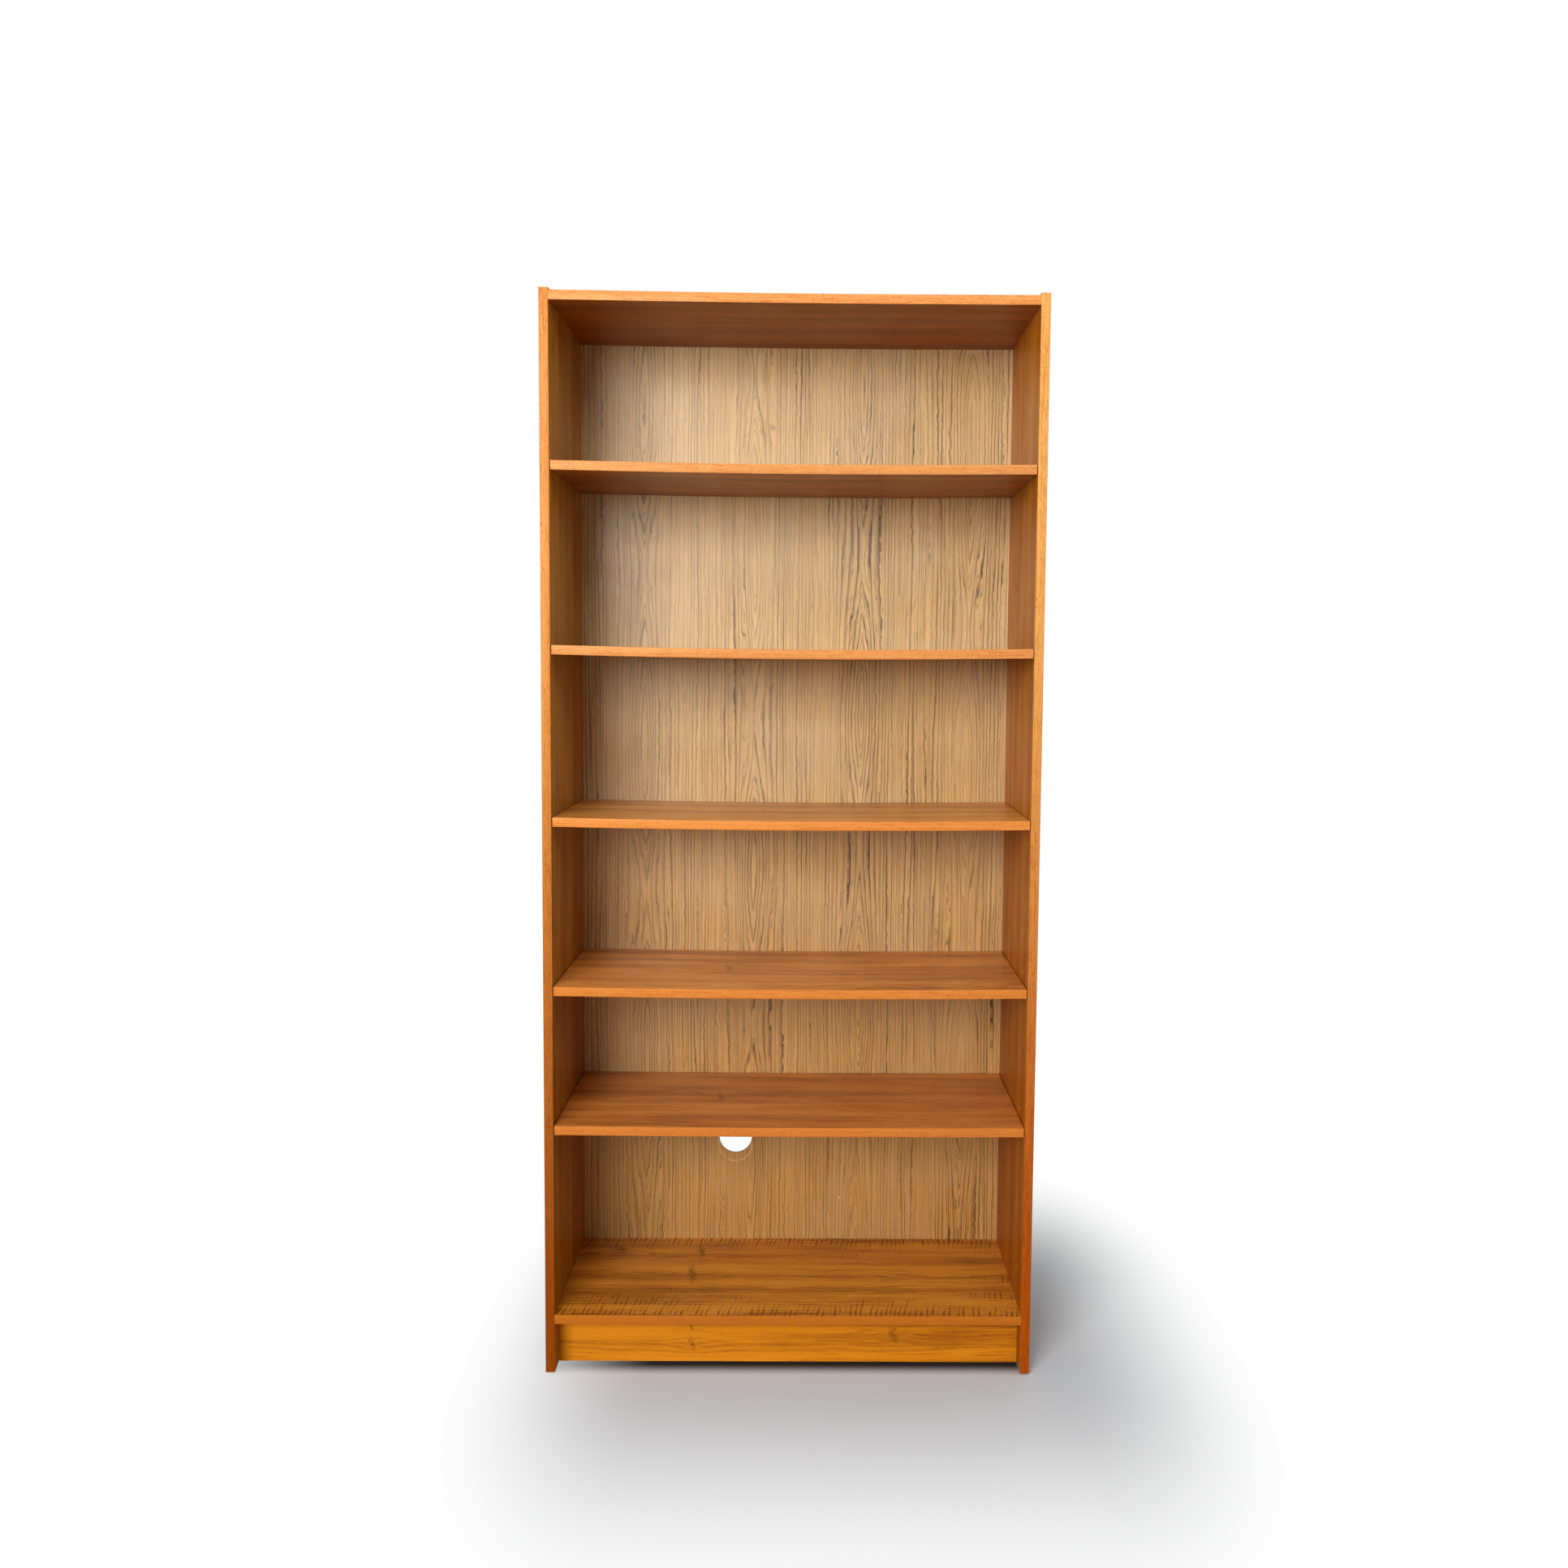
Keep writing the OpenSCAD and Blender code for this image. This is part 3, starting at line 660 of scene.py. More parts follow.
@dataclass(frozen=True)
class PrintedBoard(Finish):
    """Hardboard with a printed and lacquered wood figure in front and bare brown fibre behind.

    The hole's place and size are for the ring that was scored below it when it was cut.
    """

    hole_x: float = 0.0
    hole_z: float = 0.0
    hole_radius: float = 0.03
    margin_x: float = 0.4
    base: Colour = srgb(218, 181, 122)
    shade: Colour = srgb(190, 150, 95)
    ink: Colour = srgb(92, 68, 46)
    # The print turns darker towards the foot: partly painted shade where the light falls off lower down.
    foot_shade_tint: Colour = (0.80, 0.62, 0.40)

    def build(self) -> bpy.types.Material:
        """Makes the material."""
        material, graph, shader = self.begin(Coat_Weight=0.06, Coat_Roughness=0.3, Specular_IOR_Level=0.4)
        point, grained, normal = self.place(graph, Grain.FRONT_UPRIGHT)
        colour, ink = self.print_colour(graph, grained)
        use = graph.effect(use_group(), Vector=point, Normal=normal, Seed=4.0)
        colour = graph.mix(graph.mul(use["Haze"], 0.16), colour, srgb(204, 190, 172))
        # Darker towards the foot: partly painted shade where the light falls off lower down.
        colour = self.darken_to_foot(graph, point, colour, self.foot_shade_tint)
        scratch = self.scratches(graph, point)
        colour = graph.mix(graph.mul(scratch, 0.7), colour, srgb(226, 192, 140))
        front = graph.ramp(graph.split(normal)[1], -0.8, -0.6, 1.0, 0.0)
        felt = graph.noise(point, 700.0, 5.0, 0.75)
        mesh = graph.node("TexVoronoi", {"Vector": point, "Scale": 620.0}).outputs["Distance"]
        bare = graph.mix(graph.ramp(felt, 0.35, 0.65), srgb(112, 80, 52), srgb(158, 120, 82))
        bare = graph.mix(graph.ramp(mesh, 0.0, 0.6, 0.3, 0.0), bare, srgb(78, 54, 36))
        printed = graph.times(use["Haze"], 0.14, 0.36)
        pressed = graph.times(ink, -0.4, graph.mul(scratch, -1.5))
        fuzz = graph.times(mesh, 4.0, graph.mul(felt, 1.5))
        self.surface(graph, shader, graph.mix(front, bare, colour), graph.blend(front, 0.85, printed),
                     graph.bump(graph.blend(front, fuzz, pressed), 0.06 * MM))
        return material

    def print_colour(self, graph: Graph, grained: Socket) -> tuple[Socket, Socket]:
        """The printed figure's colour, and where its dark ink lies."""
        figure = graph.effect(figure_group(), Vector=grained, Pitch=0.0076, Spacing=0.207, Offset=0.1835,
                              Arch_Height=0.014, Arch_Width=0.025, Arch_Length=0.62, Wander=0.006,
                              Line_Width=0.40, Seed=2.0)
        fibre = graph.effect(fibre_group(), Vector=grained, Length=0.06, Seed=9.0)
        along, across, _ = graph.split(grained)
        streak = graph.stretched((along, across), (5.0, 260.0), 3.0, detail=3.0, rough=0.6)
        worn = graph.stretched((along, across), (1.6, 11.0), 6.0, detail=2.0)
        weak = graph.ramp(worn, 0.30, 0.66, 0.45, 1.0)
        ink = graph.mul(graph.times(figure["Hairs"], 0.65, figure["Lines"]), weak)
        tone = graph.times(figure["Bands"], 0.5, graph.mul(fibre["Fibres"], 0.6))
        tone = graph.swing(streak, 1.5, tone)
        colour = graph.mix(graph.ramp(tone, 0.35, 1.05), self.base, self.shade)
        colour = graph.mix(graph.mul(fibre["Pores"], 0.30), colour, self.ink)
        colour = graph.mix(ink, colour, self.ink)
        margin = graph.ramp(across, self.margin_x - 0.0004, self.margin_x, 0.0, 0.5)
        return graph.mix(margin, colour, srgb(226, 205, 172)), ink

    def scratches(self, graph: Graph, point: Socket) -> Socket:
        """The scored ring just below the cable hole, and one short nick to its right."""
        x, _, z = graph.split(point)
        off_x = graph.sub(x, self.hole_x)
        off_z = graph.sub(z, self.hole_z - 0.53 * self.hole_radius)
        far = graph.distance(off_x, off_z)
        off_line = graph.math("ABSOLUTE", graph.sub(far, self.hole_radius))
        ring = graph.mul(graph.ramp(off_line, 0.0004, 0.0012, 1.0, 0.0),
                         graph.ramp(graph.noise(point, 60.0), 0.35, 0.55, 0.3, 1.0))
        nick_x = graph.div(graph.sub(x, self.hole_x + 0.206), 0.0018)
        nick_z = graph.div(graph.sub(z, self.hole_z - 0.123), 0.0050)
        nick = graph.times(graph.noise(point, 500.0), 0.8, graph.distance(nick_x, nick_z))
        return graph.math("MAXIMUM", ring, graph.ramp(nick, 0.9, 1.3, 1.0, 0.0))


@dataclass(frozen=True)
class Metal(Finish):
    """Turned or plated metal with fine rings, dull patches and a slight tarnish."""

    light: Colour = srgb(200, 201, 204)
    dull: Colour = srgb(142, 142, 146)
    roughness: float = 0.24

    def build(self) -> bpy.types.Material:
        """Makes the material."""
        material, graph, shader = self.begin(Metallic=1.0)
        point, _, _ = self.place(graph, Grain.BOARD_FLAT)
        x, y, z = graph.split(point)
        rings = graph.stretched((x, graph.add(y, z)), (5200.0, 60.0), 0.0, detail=1.0)
        cloud = graph.noise(point, 240.0, 4.0, 0.6)
        colour = graph.mix(graph.ramp(cloud, 0.42, 0.70), self.light, self.dull)
        roughness = graph.times(graph.ramp(cloud, 0.35, 0.7), 0.2, self.roughness)
        self.surface(graph, shader, colour, roughness, graph.bump(rings, 0.01 * MM))
        return material


@dataclass(frozen=True)
class RawWood(Finish):
    """Unfinished turned or sawn timber."""

    grain: Grain = Grain.BOARD_FLAT
    light: Colour = srgb(226, 194, 146)
    dark: Colour = srgb(184, 144, 98)
    pitch: float = 0.003
    seed: float = 0.0

    def build(self) -> bpy.types.Material:
        """Makes the material."""
        material, graph, shader = self.begin()
        _, grained, _ = self.place(graph, self.grain)
        figure = graph.effect(figure_group(), Vector=grained, Pitch=self.pitch, Spacing=0.04,
                              Arch_Height=0.003, Arch_Width=0.012, Arch_Length=0.3, Wander=0.002,
                              Line_Width=0.6, Seed=self.seed)
        fibre = graph.effect(fibre_group(), Vector=grained, Length=0.012, Seed=self.seed)
        depth = graph.times(fibre["Fibres"], 0.7, graph.mul(figure["Lines"], 0.6))
        colour = graph.mix(graph.ramp(depth, 0.2, 1.0), self.light, self.dark)
        self.surface(graph, shader, colour, graph.times(fibre["Fibres"], 0.2, 0.65),
                     graph.bump(fibre["Fibres"], 0.1 * MM))
        return material


@dataclass(frozen=True)
class MouldedPlastic(Finish):
    """Matt moulded plastic with a fine grain, scuffed where it meets the floor."""

    body: Colour = srgb(74, 54, 40)
    scuffed: Colour = srgb(120, 104, 90)

    def build(self) -> bpy.types.Material:
        """Makes the material."""
        material, graph, shader = self.begin()
        point, _, _ = self.place(graph, Grain.BOARD_FLAT)
        low = graph.ramp(graph.split(point)[2], 0.0, 0.0012, 1.0, 0.0)
        scuff = graph.mul(low, graph.ramp(graph.noise(point, 900.0, 3.0), 0.42, 0.6))
        self.surface(graph, shader, graph.mix(scuff, self.body, self.scuffed), graph.times(scuff, 0.25, 0.5),
                     graph.bump(graph.noise(point, 2600.0, 2.0), 0.03 * MM))
        return material


@cache
def material_of(finish: Finish) -> bpy.types.Material:
    """The finish's material, made once."""
    return finish.build()


# ---------------------------------------------------------------- shapes


def plank(low: Vector, high: Vector) -> bmesh.types.BMesh:
    """Starts a mesh as a closed block between two corners."""
    shape = bmesh.new()
    bmesh.ops.create_cube(shape, size=1.0)
    bmesh.ops.scale(shape, vec=high - low, verts=shape.verts)
    bmesh.ops.translate(shape, vec=(low + high) / 2, verts=shape.verts)
    return shape


def ease(shape: bmesh.types.BMesh, width: float, chosen: Callable[[bmesh.types.BMEdge], bool]) -> None:
    """Rounds the chosen edges.

    Args:
        shape: the mesh.
        width: how far the rounding reaches from the edge.
        chosen: says whether an edge is rounded.
    """
    edges = [edge for edge in shape.edges if chosen(edge)]
    bmesh.ops.bevel(shape, geom=edges, offset=width, offset_type="OFFSET", affect="EDGES", segments=3,
                    profile=0.5, material=-1, clamp_overlap=True)


def lies_at(edge: bmesh.types.BMEdge, axis: int, place: float) -> bool:
    """Whether an edge lies in the plane at a place on an axis."""
    return all(abs(vert.co[axis] - place) < 1e-5 for vert in edge.verts)


def front_arrises(front: float, axis: int) -> Callable[[bmesh.types.BMEdge], bool]:
    """Chooses the edges in a front plane that run along an axis."""
    return lambda edge: lies_at(edge, 1, front) and not lies_at(edge, axis, edge.verts[0].co[axis])


def let_sag(shape: bmesh.types.BMesh, depth: float) -> None:
    """Bends a straight strip down as an evenly loaded beam that rests on its ends.

    Args:
        shape: the strip's mesh, which runs along X.
        depth: how far the middle drops.
    """
    places = [vert.co.x for vert in shape.verts]
    middle = (min(places) + max(places)) / 2
    span = max(places) - min(places)
    long_edges = [edge for edge in shape.edges if abs(edge.verts[0].co.x - edge.verts[1].co.x) > 0.9 * span]
    bmesh.ops.subdivide_edges(shape, edges=long_edges, cuts=SAG_STEPS - 1, use_grid_fill=True)
    for vert in shape.verts:
        share = (vert.co.x - middle) / span
        vert.co.z -= depth * (1 - 24 / 5 * share**2 + 16 / 5 * share**4)


def turned(outline: Outline, axis: Vector, steps: int, closed: bool = False) -> bmesh.types.BMesh:
    """Turns an outline round an axis through the origin.

    Args:
        outline: places along the axis, each with its radius.
        axis: the axis, as a unit vector.
        steps: how many faces go round.
        closed: whether the outline joins up with itself, as a ring's does.

    Returns:
        The turned mesh, with its normals outwards.
    """
    shape = bmesh.new()
    sideways = axis.orthogonal().normalized()
    verts = [shape.verts.new(axis * along + sideways * radius) for along, radius in outline]
    pairs = list(zip(verts, verts[1:]))
    if closed:
        pairs.append((verts[-1], verts[0]))
    edges = [shape.edges.new(pair) for pair in pairs]
    bmesh.ops.spin(shape, geom=verts + edges, cent=(0, 0, 0), axis=axis, angle=math.tau, steps=steps,
                   use_merge=True)
    bmesh.ops.remove_doubles(shape, verts=shape.verts, dist=1e-6)
    bmesh.ops.recalc_face_normals(shape, faces=shape.faces)
    return shape


def repeat(shape: bmesh.types.BMesh, places: Iterable[Vector]) -> bmesh.types.BMesh:
    """Copies a small shape to each place and joins the copies in one mesh; the first shape is used up."""
    joined = bmesh.new()
    pattern = bpy.data.meshes.new("pattern")
    shape.to_mesh(pattern)
    shape.free()
    for place in places:
        before = len(joined.verts)
        joined.from_mesh(pattern)
        joined.verts.ensure_lookup_table()
        bmesh.ops.translate(joined, vec=place, verts=joined.verts[before:])
    bpy.data.meshes.remove(pattern)
    return joined


def spread(start: float, end: float, pitch: float) -> list[float]:
    """Even places from start to end, no further apart than the pitch."""
    count = math.ceil((end - start) / pitch - 1e-6)
    return [start + (end - start) * step / count for step in range(count + 1)]


# ---------------------------------------------------------------- sub-assemblies


class SubAssembly:
    """Pieces of the bookcase that are made and dressed together."""

    def dress(self, node: str, finish: Finish) -> None:
        """Gives a piece of the frame its finish."""
        piece = frame["nodes"][node]
        for place in piece.material_slots:
            place.material = material_of(finish)
        LOG.info("%s: %s", node, finish.name)

    def add(self, name: str, shape: bmesh.types.BMesh, node: str, slot: str, finish: Finish,
            stands_for: bool = True) -> None:
        """Turns a mesh into a finished piece.

        Args:
            name: the piece's name.
            shape: its mesh, in place; it is used up.
            node: the frame's node that the piece stands for, or whose body it rides on.
            slot: the record's material slot; not used.
            finish: its finish.
            stands_for: whether the piece takes the node's place.
        """
        mesh = bpy.data.meshes.new(name)
        shape.to_mesh(mesh)
        shape.free()
        mesh.shade_smooth()
        mesh.set_sharp_from_angle(angle=math.radians(35))
        mesh.materials.append(material_of(finish))
        piece = bpy.data.objects.new(name, mesh)
        bpy.context.scene.collection.objects.link(piece)
        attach(piece, frame["nodes"][node]["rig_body"])
        if stands_for:
            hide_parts(node)
        LOG.info("%s: %d faces, %s", name, len(mesh.polygons), finish.name)

    def build(self) -> None:
        """Makes and dresses the pieces."""
        raise NotImplementedError


@dataclass
class SidePanels(SubAssembly):
    """The two side panels with the edging on their front edges and the caps on their tops."""

    arris: float = ARRIS

    def build(self) -> None:
        """Makes and dresses the pieces."""
        faces = {"left": (srgb(192, 131, 38), srgb(131, 78, 14)),
                 "right": (srgb(194, 118, 20), srgb(132, 69, 7))}
        for seed, (side, (light, dark)) in enumerate(faces.items()):
            # The side veneers darken towards the foot: partly painted shade where the light falls off lower
            # down.
            veneer = Veneer(f"teak veneer {side} side", grain=Grain.SIDE_UPRIGHT, veneered="x",
                            spacing=0.13, arch=0.008, seed=3.0 + seed, light=light, dark=dark,
                            foot_shade_tint=(0.76, 0.54, 0.06), gloss=0.06)
            self.dress(f"side_panel_{side}", veneer)
            self.make_edging(side, 20.0 + seed)
            self.make_cap(side, 22.0 + seed)

    def make_edging(self, side: str, seed: float) -> None:
        """Makes the strip on a side panel's front edge, with its two long arrises eased."""
        # Each edging turns darker towards its foot: partly painted shade where the light falls off lower
        # down.
        foot_shading: dict[str, dict[str, float | Colour]]
        foot_shading = {"left": {"light": srgb(206, 129, 54), "dark": srgb(154, 74, 20),
                           "foot_shade_tint": (0.43, 0.23, 0.003), "untinted_from": 1.4},
                  "right": {"light": srgb(222, 160, 86), "dark": srgb(170, 94, 32),
                            "foot_shade_tint": (0.58, 0.22, 0.002), "untinted_from": 1.65}}
        node = f"side_edging_{side}"
        low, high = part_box(node)
        shape = plank(low, high)
        ease(shape, self.arris, front_arrises(low.y, 2))
        finish = Edging(f"edging {side} side", grain=Grain.FRONT_UPRIGHT, low_side=low.x, high_side=high.x,
                        seed=seed, **foot_shading[side])
        self.add(f"edging_side_{side}", shape, node, "veneer_edging", finish)

    def make_cap(self, side: str, seed: float) -> None:
        """Makes the strip on a side panel's upper end, notched over the back panel's rebate."""
        node = f"side_cap_{side}"
        low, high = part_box(node)
        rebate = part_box("back_panel")[0].y
        outer, inner = (low.x, high.x) if side == "left" else (high.x, low.x)
        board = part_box("back_panel")[1].x + 0.5 * MM
        notch = math.copysign(board, outer)
        corners = [(outer, low.y), (inner, low.y), (inner, rebate), (notch, rebate), (notch, high.y),
                   (outer, high.y)]
        shape = bmesh.new()
        face = shape.faces.new([shape.verts.new((x, y, low.z)) for x, y in corners])
        raised = bmesh.ops.extrude_face_region(shape, geom=[face])["geom"]
        verts = [part for part in raised if isinstance(part, bmesh.types.BMVert)]
        bmesh.ops.translate(shape, vec=(0, 0, high.z - low.z), verts=verts)
        bmesh.ops.recalc_face_normals(shape, faces=shape.faces)
        ease(shape, self.arris, lambda edge: lies_at(edge, 2, high.z))
        finish = Edging(f"edging {side} cap", grain=Grain.FRONT_UPRIGHT, low_side=low.x, high_side=high.x,
                        seed=seed)
        self.add(f"edging_cap_{side}", shape, node, "veneer_edging", finish)


@dataclass
class BoardEdging:
    """The strip of edging on a board's front edge, eased along both arrises, which follows its sag."""

    node: str
    name: str
    seed: float
    light: Colour
    arris: float = ARRIS

    def make(self, owner: SubAssembly) -> None:
        """Makes the strip and hands it to the sub-assembly that it belongs to."""
        low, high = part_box(self.node)
        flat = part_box("bottom_edging")
        thickness = flat[1].z - flat[0].z
        sag = high.z - low.z - thickness
        shape = plank(Vector((low.x, low.y, high.z - thickness)), high)
        ease(shape, self.arris, front_arrises(low.y, 0))
        let_sag(shape, max(sag, 0.0))
        finish = Edging(self.name.replace("_", " "), low_side=low.z + sag / 2, high_side=high.z,
                        seed=self.seed, light=self.light)
        owner.add(self.name, shape, self.node, "veneer_edging", finish)


class FixedBoards(SubAssembly):
    """The top and bottom boards with their edging, and the set-back plinth board."""

    def build(self) -> None:
        """Makes and dresses the pieces."""
        # The top board is darker than the other boards: painted shade on its underside, which is seen from
        # below.
        top = Veneer("teak veneer top board", seed=6.0, light=srgb(168, 88, 18), dark=srgb(114, 51, 7),
                     gloss=0.08)
        self.dress("top_board", top)
        low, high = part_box("bottom_board")
        curl = Curl(low.y, high.y, 0.050, 0.55)
        knots = (Knot(-0.172, 0.085, 0.014, 2.2), Knot(-0.182, 0.0, 0.014, 2.6),
                 Knot(-0.330, 0.095, 0.026, 0.7))
        bottom = Veneer("teak veneer bottom board", seed=7.0, light=srgb(214, 138, 42),
                        dark=srgb(134, 72, 14), knots=knots, curl=curl, line_strength=0.4, gloss=0.05)
        self.dress("bottom_board", bottom)
        low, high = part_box("plinth_board")
        middle = (low.z + high.z) / 2
        knots = (Knot(-0.172, middle - 0.012, 0.009, 1.4), Knot(-0.174, middle + 0.020, 0.007, 1.8),
                 Knot(0.189, middle + 0.004, 0.014, 1.1))
        plinth = Veneer("teak veneer plinth", grain=Grain.BOARD_UPRIGHT, veneered="y", seed=8.0, knots=knots,
                        light=srgb(215, 132, 20), dark=srgb(144, 74, 8), line_strength=0.26, spacing=0.055,
                        arch=0.003, pitch=0.009, gloss=0.03)
        self.dress("plinth_board", plinth)
        # The bottom board's edging is darker than the top board's: painted shade where the light falls off
        # lower down.
        BoardEdging("top_edging", "edging_top_board", 30.0, srgb(218, 146, 82)).make(self)
        BoardEdging("bottom_edging", "edging_bottom_board", 31.0, srgb(182, 106, 22)).make(self)


@dataclass
class BackPanel(SubAssembly):
    """The printed back panel with the torn lip of its cable hole, and the nails that hold it."""

    lip: float = 0.5 * MM
    nail_pitch: float = 125 * MM
    nail_end: float = 20 * MM
    nail_length: float = 18 * MM
    nail_head: float = 2.2 * MM
    nail_shank: float = 0.8 * MM

    def build(self) -> None:
        """Makes and dresses the pieces."""
        hole = next(mount for mount in frame["record"]["mounts"] if mount["name"] == "cable_hole")
        centre = Vector(hole["pos_m"])
        radius = hole["dims"]["r_mm"] * MM
        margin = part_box("side_panel_right")[0].x - 1.5 * MM
        finish = PrintedBoard("printed hardboard", hole_x=centre.x, hole_z=centre.z, hole_radius=radius,
                              margin_x=margin)
        self.dress("back_panel", finish)
        self.make_lip(centre, radius)
        self.make_nails()

    def make_lip(self, centre: Vector, radius: float) -> None:
        """Makes the ring of torn fibre round the hole's front edge."""
        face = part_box("back_panel")[0].y - centre.y
        steps = ((4.0, 0.0), (1.0, -0.4), (-0.3, -0.1), (-0.5, 0.3), (0.0, 1.2), (1.0, 1.0))
        outline = [(face + behind * self.lip, radius + beyond * self.lip) for behind, beyond in steps]
        shape = turned(outline, Vector((0, 1, 0)), 120, closed=True)
        bmesh.ops.translate(shape, vec=centre, verts=shape.verts)
        for vert in shape.verts:
            ragged = noise.noise(vert.co * 300)
            outwards = Vector((vert.co.x - centre.x, 0, vert.co.z - centre.z)).normalized()
            vert.co += outwards * ragged * 0.3 * self.lip
        fibre = RawWood("torn fibre", light=srgb(198, 160, 116), dark=srgb(134, 98, 66), seed=2.0)
        self.add("cable_hole_lip", shape, "back_panel", "printed_hardboard", fibre, stands_for=False)

    def make_nails(self) -> None:
        """Makes the nails, with domed heads, along both sides and both ends of the panel."""
        low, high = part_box("back_panel_nails")
        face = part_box("back_panel")[1].y
        proud = high.y - face
        radius, shank, length = self.nail_head, self.nail_shank, self.nail_length
        outline = [(proud, 0.0), (0.8 * proud, 0.5 * radius), (0.45 * proud, 0.85 * radius),
                   (0.15 * proud, radius), (0.0, radius), (0.0, shank), (2 * shank - length, shank),
                   (-length, 0.0)]
        nail = turned(outline, Vector((0, 1, 0)), 12)
        x_side = high.x - radius
        x_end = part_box("side_panel_right")[0].x - self.nail_end
        z_low, z_high = low.z + radius, high.z - radius
        upright = spread(z_low, z_high, self.nail_pitch)
        level = spread(-x_end, x_end, self.nail_pitch)
        places = [Vector((side * x_side, face, z)) for side in (-1, 1) for z in upright]
        places += [Vector((x, face, z)) for z in (z_low, z_high) for x in level]
        steel = Metal("blued nail steel")
        self.add("nails", repeat(nail, places), "back_panel_nails", "zinc_fitting", steel)


@dataclass
class LooseShelf(SubAssembly):
    """A loose shelf with its edging and the four pins that it rests on."""

    number: int = 1
    light: Colour = srgb(212, 133, 58)
    dark: Colour = srgb(143, 73, 25)
    edge_light: Colour = srgb(210, 140, 78)
    knots: tuple[Knot, ...] = ()
    peg_radius: float = 2.45 * MM
    chamfer: float = 0.6 * MM

    def build(self) -> None:
        """Makes and dresses the pieces."""
        veneer = Veneer(f"teak veneer shelf {self.number}", seed=10.0 + self.number, light=self.light,
                        dark=self.dark, knots=self.knots)
        self.dress(f"shelf_{self.number}", veneer)
        edging = BoardEdging(f"shelf_edging_{self.number}", f"edging_shelf_{self.number}",
                             40.0 + self.number, self.edge_light)
        edging.make(self)
        for side in ("left", "right"):
            for row in ("front", "rear"):
                self.make_pin(f"pin_{self.number}_{side}_{row}", side)

    def make_pin(self, node: str, side: str) -> None:
        """Makes a turned pin, with a chamfered head, a relief behind it and a rounded peg."""
        low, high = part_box(node)
        middle = (low + high) / 2
        head_radius = (high.z - low.z) / 2
        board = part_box(f"side_panel_{side}")
        face = board[1].x if side == "left" else board[0].x
        start, end = (high.x, low.x) if side == "left" else (low.x, high.x)
        head = abs(face - start)
        whole = abs(end - start)
        cut, peg = self.chamfer, self.peg_radius
        outline = [(0.0, 0.0), (0.0, head_radius - cut), (0.3 * cut, head_radius - 0.3 * cut),
                   (cut, head_radius), (head - 0.4 * cut, head_radius), (head, head_radius - 0.4 * cut),
                   (head, peg - 0.5 * cut), (head + cut, peg - 0.5 * cut), (head + 1.5 * cut, peg),
                   (whole - 2 * cut, peg), (whole - 0.6 * cut, 0.8 * peg), (whole, 0.4 * peg), (whole, 0.0)]
        shape = turned(outline, Vector((1, 0, 0)), 20)
        if side == "left":
            bmesh.ops.scale(shape, vec=(-1, 1, 1), verts=shape.verts)
            bmesh.ops.recalc_face_normals(shape, faces=shape.faces)
        bmesh.ops.translate(shape, vec=(start, middle.y, middle.z), verts=shape.verts)
        self.add(node.replace("pin_", "turned_pin_", 1), shape, node, "pin_steel", Metal("turned pin steel"))


@dataclass
class Fixings(SubAssembly):
    """What holds the case together and off the floor: cams, dowels, glue blocks, screws and glides."""

    glide_inset: float = 30 * MM
    glide_radius: float = 7 * MM
    spike_radius: float = 1.2 * MM

    def build(self) -> None:
        """Makes and dresses the pieces."""
        zinc = Metal("zinc plate", light=srgb(186, 188, 194), dull=srgb(132, 134, 140), roughness=0.3)
        beech = RawWood("turned beech", seed=1.0)
        for board in ("top", "bottom"):
            self.dress(f"{board}_cam_housings", zinc)
            self.dress(f"{board}_cam_bolts", zinc)
            self.dress(f"{board}_dowels", beech)
        self.dress("plinth_dowels", beech)
        self.dress("plinth_blocks", RawWood("sawn pine", light=srgb(230, 200, 148), dark=srgb(186, 138, 84),
                                            pitch=0.0045, seed=5.0))
        self.dress("plinth_screws", zinc)
        self.make_glides()

    def make_glides(self) -> None:
        """Makes the domed glides with their spikes."""
        low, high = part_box("floor_glides")
        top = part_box("side_panel_left")[0].z
        rim = self.glide_radius - 0.2 * MM
        spike = self.spike_radius
        outline = [(0.0, 0.0), (0.0, 0.6 * rim), (0.12 * top, 0.78 * rim), (0.4 * top, 0.93 * rim),
                   (0.8 * top, rim), (top, 0.98 * rim), (top, spike), (high.z - 3 * spike, spike),
                   (high.z, 0.0)]
        glide = turned(outline, Vector((0, 0, 1)), 24)
        front, back = CAD_BOX[0].y + self.glide_inset, CAD_BOX[1].y - self.glide_inset
        places = [Vector((side * (high.x - rim), y, low.z)) for side in (-1, 1) for y in (front, back)]
        plastic = MouldedPlastic("glide plastic")
        self.add("glides", repeat(glide, places), "floor_glides", "glide_plastic", plastic)


# ---------------------------------------------------------------- studio


@dataclass(frozen=True)
class SoftLight:
    """A rectangular soft light that looks at the case."""

    name: str
    place: Vector
    width: float
    height: float
    power: float

    def hang(self, target: Vector) -> None:
        """Hangs the light and turns it to the target."""
        lamp = bpy.data.lights.new(self.name, "AREA")
        lamp.shape = "RECTANGLE"
        lamp.size, lamp.size_y = self.width, self.height
        lamp.energy = self.power
        piece = bpy.data.objects.new(self.name, lamp)
        piece.location = self.place
        piece.rotation_euler = (target - self.place).to_track_quat("-Z", "Y").to_euler()
        bpy.context.scene.collection.objects.link(piece)


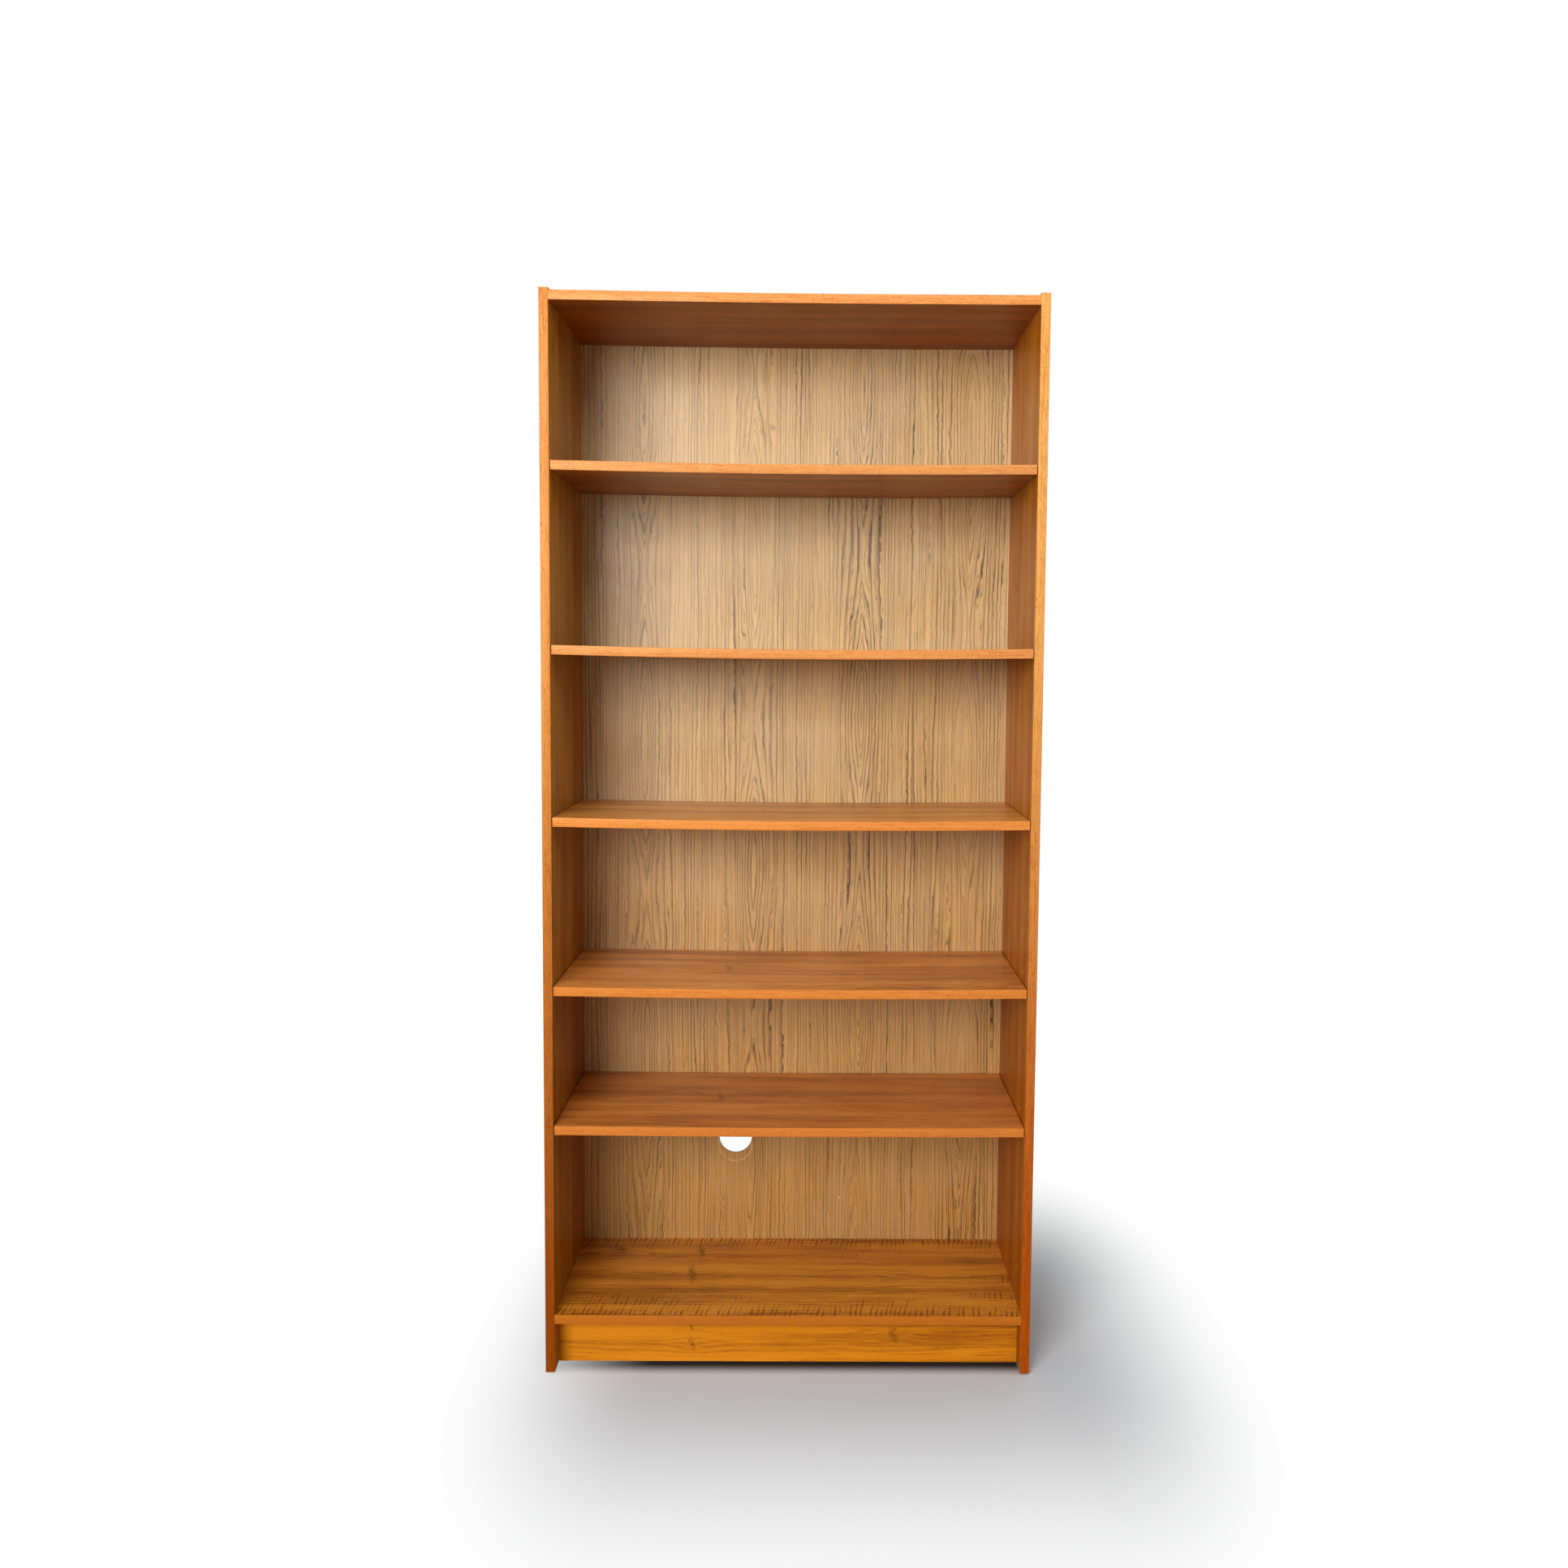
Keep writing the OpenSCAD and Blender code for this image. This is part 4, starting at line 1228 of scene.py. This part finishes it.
@dataclass
class Studio:
    """The camera, the pale floor with its painted shadows, and the soft lights."""

    camera_place: Vector = field(default_factory=lambda: Vector((0.0327, CAD_BOX[0].y - 2.0633, 1.2443)))
    turn: float = math.radians(-0.561)
    tilt: float = math.radians(-3.859)
    roll: float = math.radians(-0.494)
    lens: float = 27.95
    shift_x: float = -0.02505
    shift_y: float = -0.02287
    floor_size: float = 60.0
    floor_colour: Colour = (0.59, 0.61, 0.63)
    floor_bounce: Colour = (0.46, 0.40, 0.32)
    # The floor's painted shadows: a soft painted shadow that fades out within a reach of the case and leans
    # to its right, and a painted contact shadow under the case, down to the darkest value.
    painted_shadow_reach: float = 0.62
    painted_shadow_inset: float = 0.075
    painted_shadow_stretch: float = 1.6
    painted_shadow_lean: float = 0.12
    painted_contact_shadow_front: tuple[float, float] = (-0.005, 0.032)
    painted_contact_shadow_side: float = 0.02
    painted_contact_shadow_back: float = 0.04
    darkest: float = 0.04
    room_light: float = 0.47

    def build(self) -> None:
        """Sets the studio up."""
        self.place_camera()
        self.lay_floor()
        self.light_up()

    def place_camera(self) -> None:
        """Makes the camera and makes it the scene's own."""
        data = bpy.data.cameras.new("camera")
        data.lens = self.lens
        data.sensor_width = 36.0
        data.shift_x, data.shift_y = self.shift_x, self.shift_y
        camera = bpy.data.objects.new("camera", data)
        upright = Matrix.Rotation(math.pi / 2, 4, "X")
        attitude = (Matrix.Rotation(self.turn, 4, "Z") @ Matrix.Rotation(self.tilt, 4, "X")
                    @ Matrix.Rotation(self.roll, 4, "Y") @ upright)
        camera.matrix_world = Matrix.Translation(self.camera_place) @ attitude
        bpy.context.scene.collection.objects.link(camera)
        bpy.context.scene.camera = camera

    def shade(self, graph: Graph) -> tuple[Socket, Socket]:
        """Paints the floor's shadows from where a point lies.

        Args:
            graph: the floor material's graph.

        Returns:
            How light the painted contact shadow leaves the floor under the case, and how far the painted
            soft shadow has faded into the surroundings.
        """
        low, high = CAD_BOX
        x, y, _ = graph.split(graph.node("TexCoord").outputs["Object"])
        # Painted soft shadow: it fades with the distance from the case's foot and reaches further on the
        # right.
        leaning = graph.math("ABSOLUTE", graph.sub(x, self.painted_shadow_lean))
        beside = graph.math("MAXIMUM", graph.sub(leaning, high.x - self.painted_shadow_inset), 0.0)
        beside = graph.mul(beside, self.painted_shadow_stretch)
        before = graph.math("MAXIMUM", graph.sub(graph.math("ABSOLUTE", y), high.y), 0.0)
        painted_shadow_fade = graph.ramp(graph.distance(beside, before), 0.0, self.painted_shadow_reach)
        start, end = self.painted_contact_shadow_front
        # Painted contact shadow: the floor darkens under the case, behind its front edge.
        under = graph.ramp(y, low.y + start, low.y + end, 1.0, self.darkest)
        past_side = graph.ramp(graph.math("ABSOLUTE", x), high.x - self.painted_contact_shadow_side, high.x)
        past_back = graph.ramp(y, high.y - self.painted_contact_shadow_back, high.y)
        return graph.blend(graph.math("MAXIMUM", past_side, past_back), under, 1.0), painted_shadow_fade

    def lay_floor(self) -> None:
        """Lays the pale floor, with painted shadows round the case's foot."""
        shape = bmesh.new()
        bmesh.ops.create_grid(shape, x_segments=1, y_segments=1, size=self.floor_size / 2)
        mesh = bpy.data.meshes.new("floor")
        shape.to_mesh(mesh)
        shape.free()
        material = bpy.data.materials.new("pale floor")
        material.use_nodes = True
        graph = Graph(material.node_tree)
        seen = graph.node("LightPath").outputs["Is Camera Ray"]
        painted_shade_factor, painted_shadow_fade = self.shade(graph)
        # The floor's grey, darkened under the case by the painted contact shadow.
        pale = graph.mix(painted_shade_factor, (0.0, 0.0, 0.0), self.floor_colour)
        matt = graph.node("BsdfDiffuse", {"Color": graph.mix(seen, self.floor_bounce, pale)})
        bright = graph.node("Emission", {"Color": (1.0, 1.0, 1.0), "Strength": 1.0})
        # Away from the case the floor turns to plain white, which fades the painted soft shadow out.
        share = graph.mul(painted_shadow_fade, seen)
        mixed = graph.node("MixShader", {0: share, 1: matt.outputs[0], 2: bright.outputs[0]})
        graph.node("OutputMaterial", {"Surface": mixed.outputs[0]})
        mesh.materials.append(material)
        floor = bpy.data.objects.new("floor", mesh)
        bpy.context.scene.collection.objects.link(floor)

    def light_up(self) -> None:
        """Sets the pale surroundings and hangs the soft lights."""
        scene = bpy.context.scene
        scene.view_settings.view_transform = "Standard"
        world = bpy.data.worlds.new("pale room")
        world.use_nodes = True
        graph = Graph(world.node_tree)
        seen = graph.node("LightPath").outputs["Is Camera Ray"]
        strength = graph.blend(seen, self.room_light, 1.0)
        sky = graph.node("Background", {"Color": (1.0, 1.0, 1.0), "Strength": strength})
        graph.node("OutputWorld", {"Surface": sky.outputs[0]})
        scene.world = world
        low, high = CAD_BOX
        middle = (low + high) / 2
        SoftLight("window", Vector((-1.7, low.y - 3.9, 2.1)), 2.2, 1.9, 178.0).hang(middle)
        SoftLight("overhead", Vector((0.15, low.y - 1.3, high.z + 0.75)), 1.6, 0.8, 11.0).hang(middle)


# ---------------------------------------------------------------- the bookcase


def shelves() -> list[LooseShelf]:
    """The five loose shelves, from the highest to the lowest. Shelves 1 and 2 are darker for painted shade
    on their undersides, which are seen from below, and from shelf 3 down the shelves and their edgings step
    darker for painted shade where the light falls off lower down.
    """
    return [
        LooseShelf(number=1, light=srgb(181, 101, 26), dark=srgb(117, 55, 10),
                   edge_light=srgb(208, 142, 80)),
        LooseShelf(number=2, light=srgb(176, 98, 30), dark=srgb(116, 54, 12)),
        LooseShelf(number=3, light=srgb(226, 155, 74), dark=srgb(154, 87, 32),
                   edge_light=srgb(216, 134, 62)),
        LooseShelf(number=4, light=srgb(222, 147, 70), dark=srgb(148, 80, 30), edge_light=srgb(210, 128, 54),
                   knots=(Knot(-0.115, 0.0, 0.012, 2.0),)),
        LooseShelf(number=5, knots=(Knot(-0.130, 0.005, 0.013, 2.0),), edge_light=srgb(200, 118, 48)),
    ]


def main() -> None:
    """Builds the studio and the bookcase, sub-assembly by sub-assembly."""
    logging.basicConfig(level=logging.INFO, format="%(name)s: %(message)s")
    Studio().build()
    for part in (SidePanels(), FixedBoards(), BackPanel(), *shelves(), Fixings()):
        part.build()


if __name__ == "__main__":
    main()
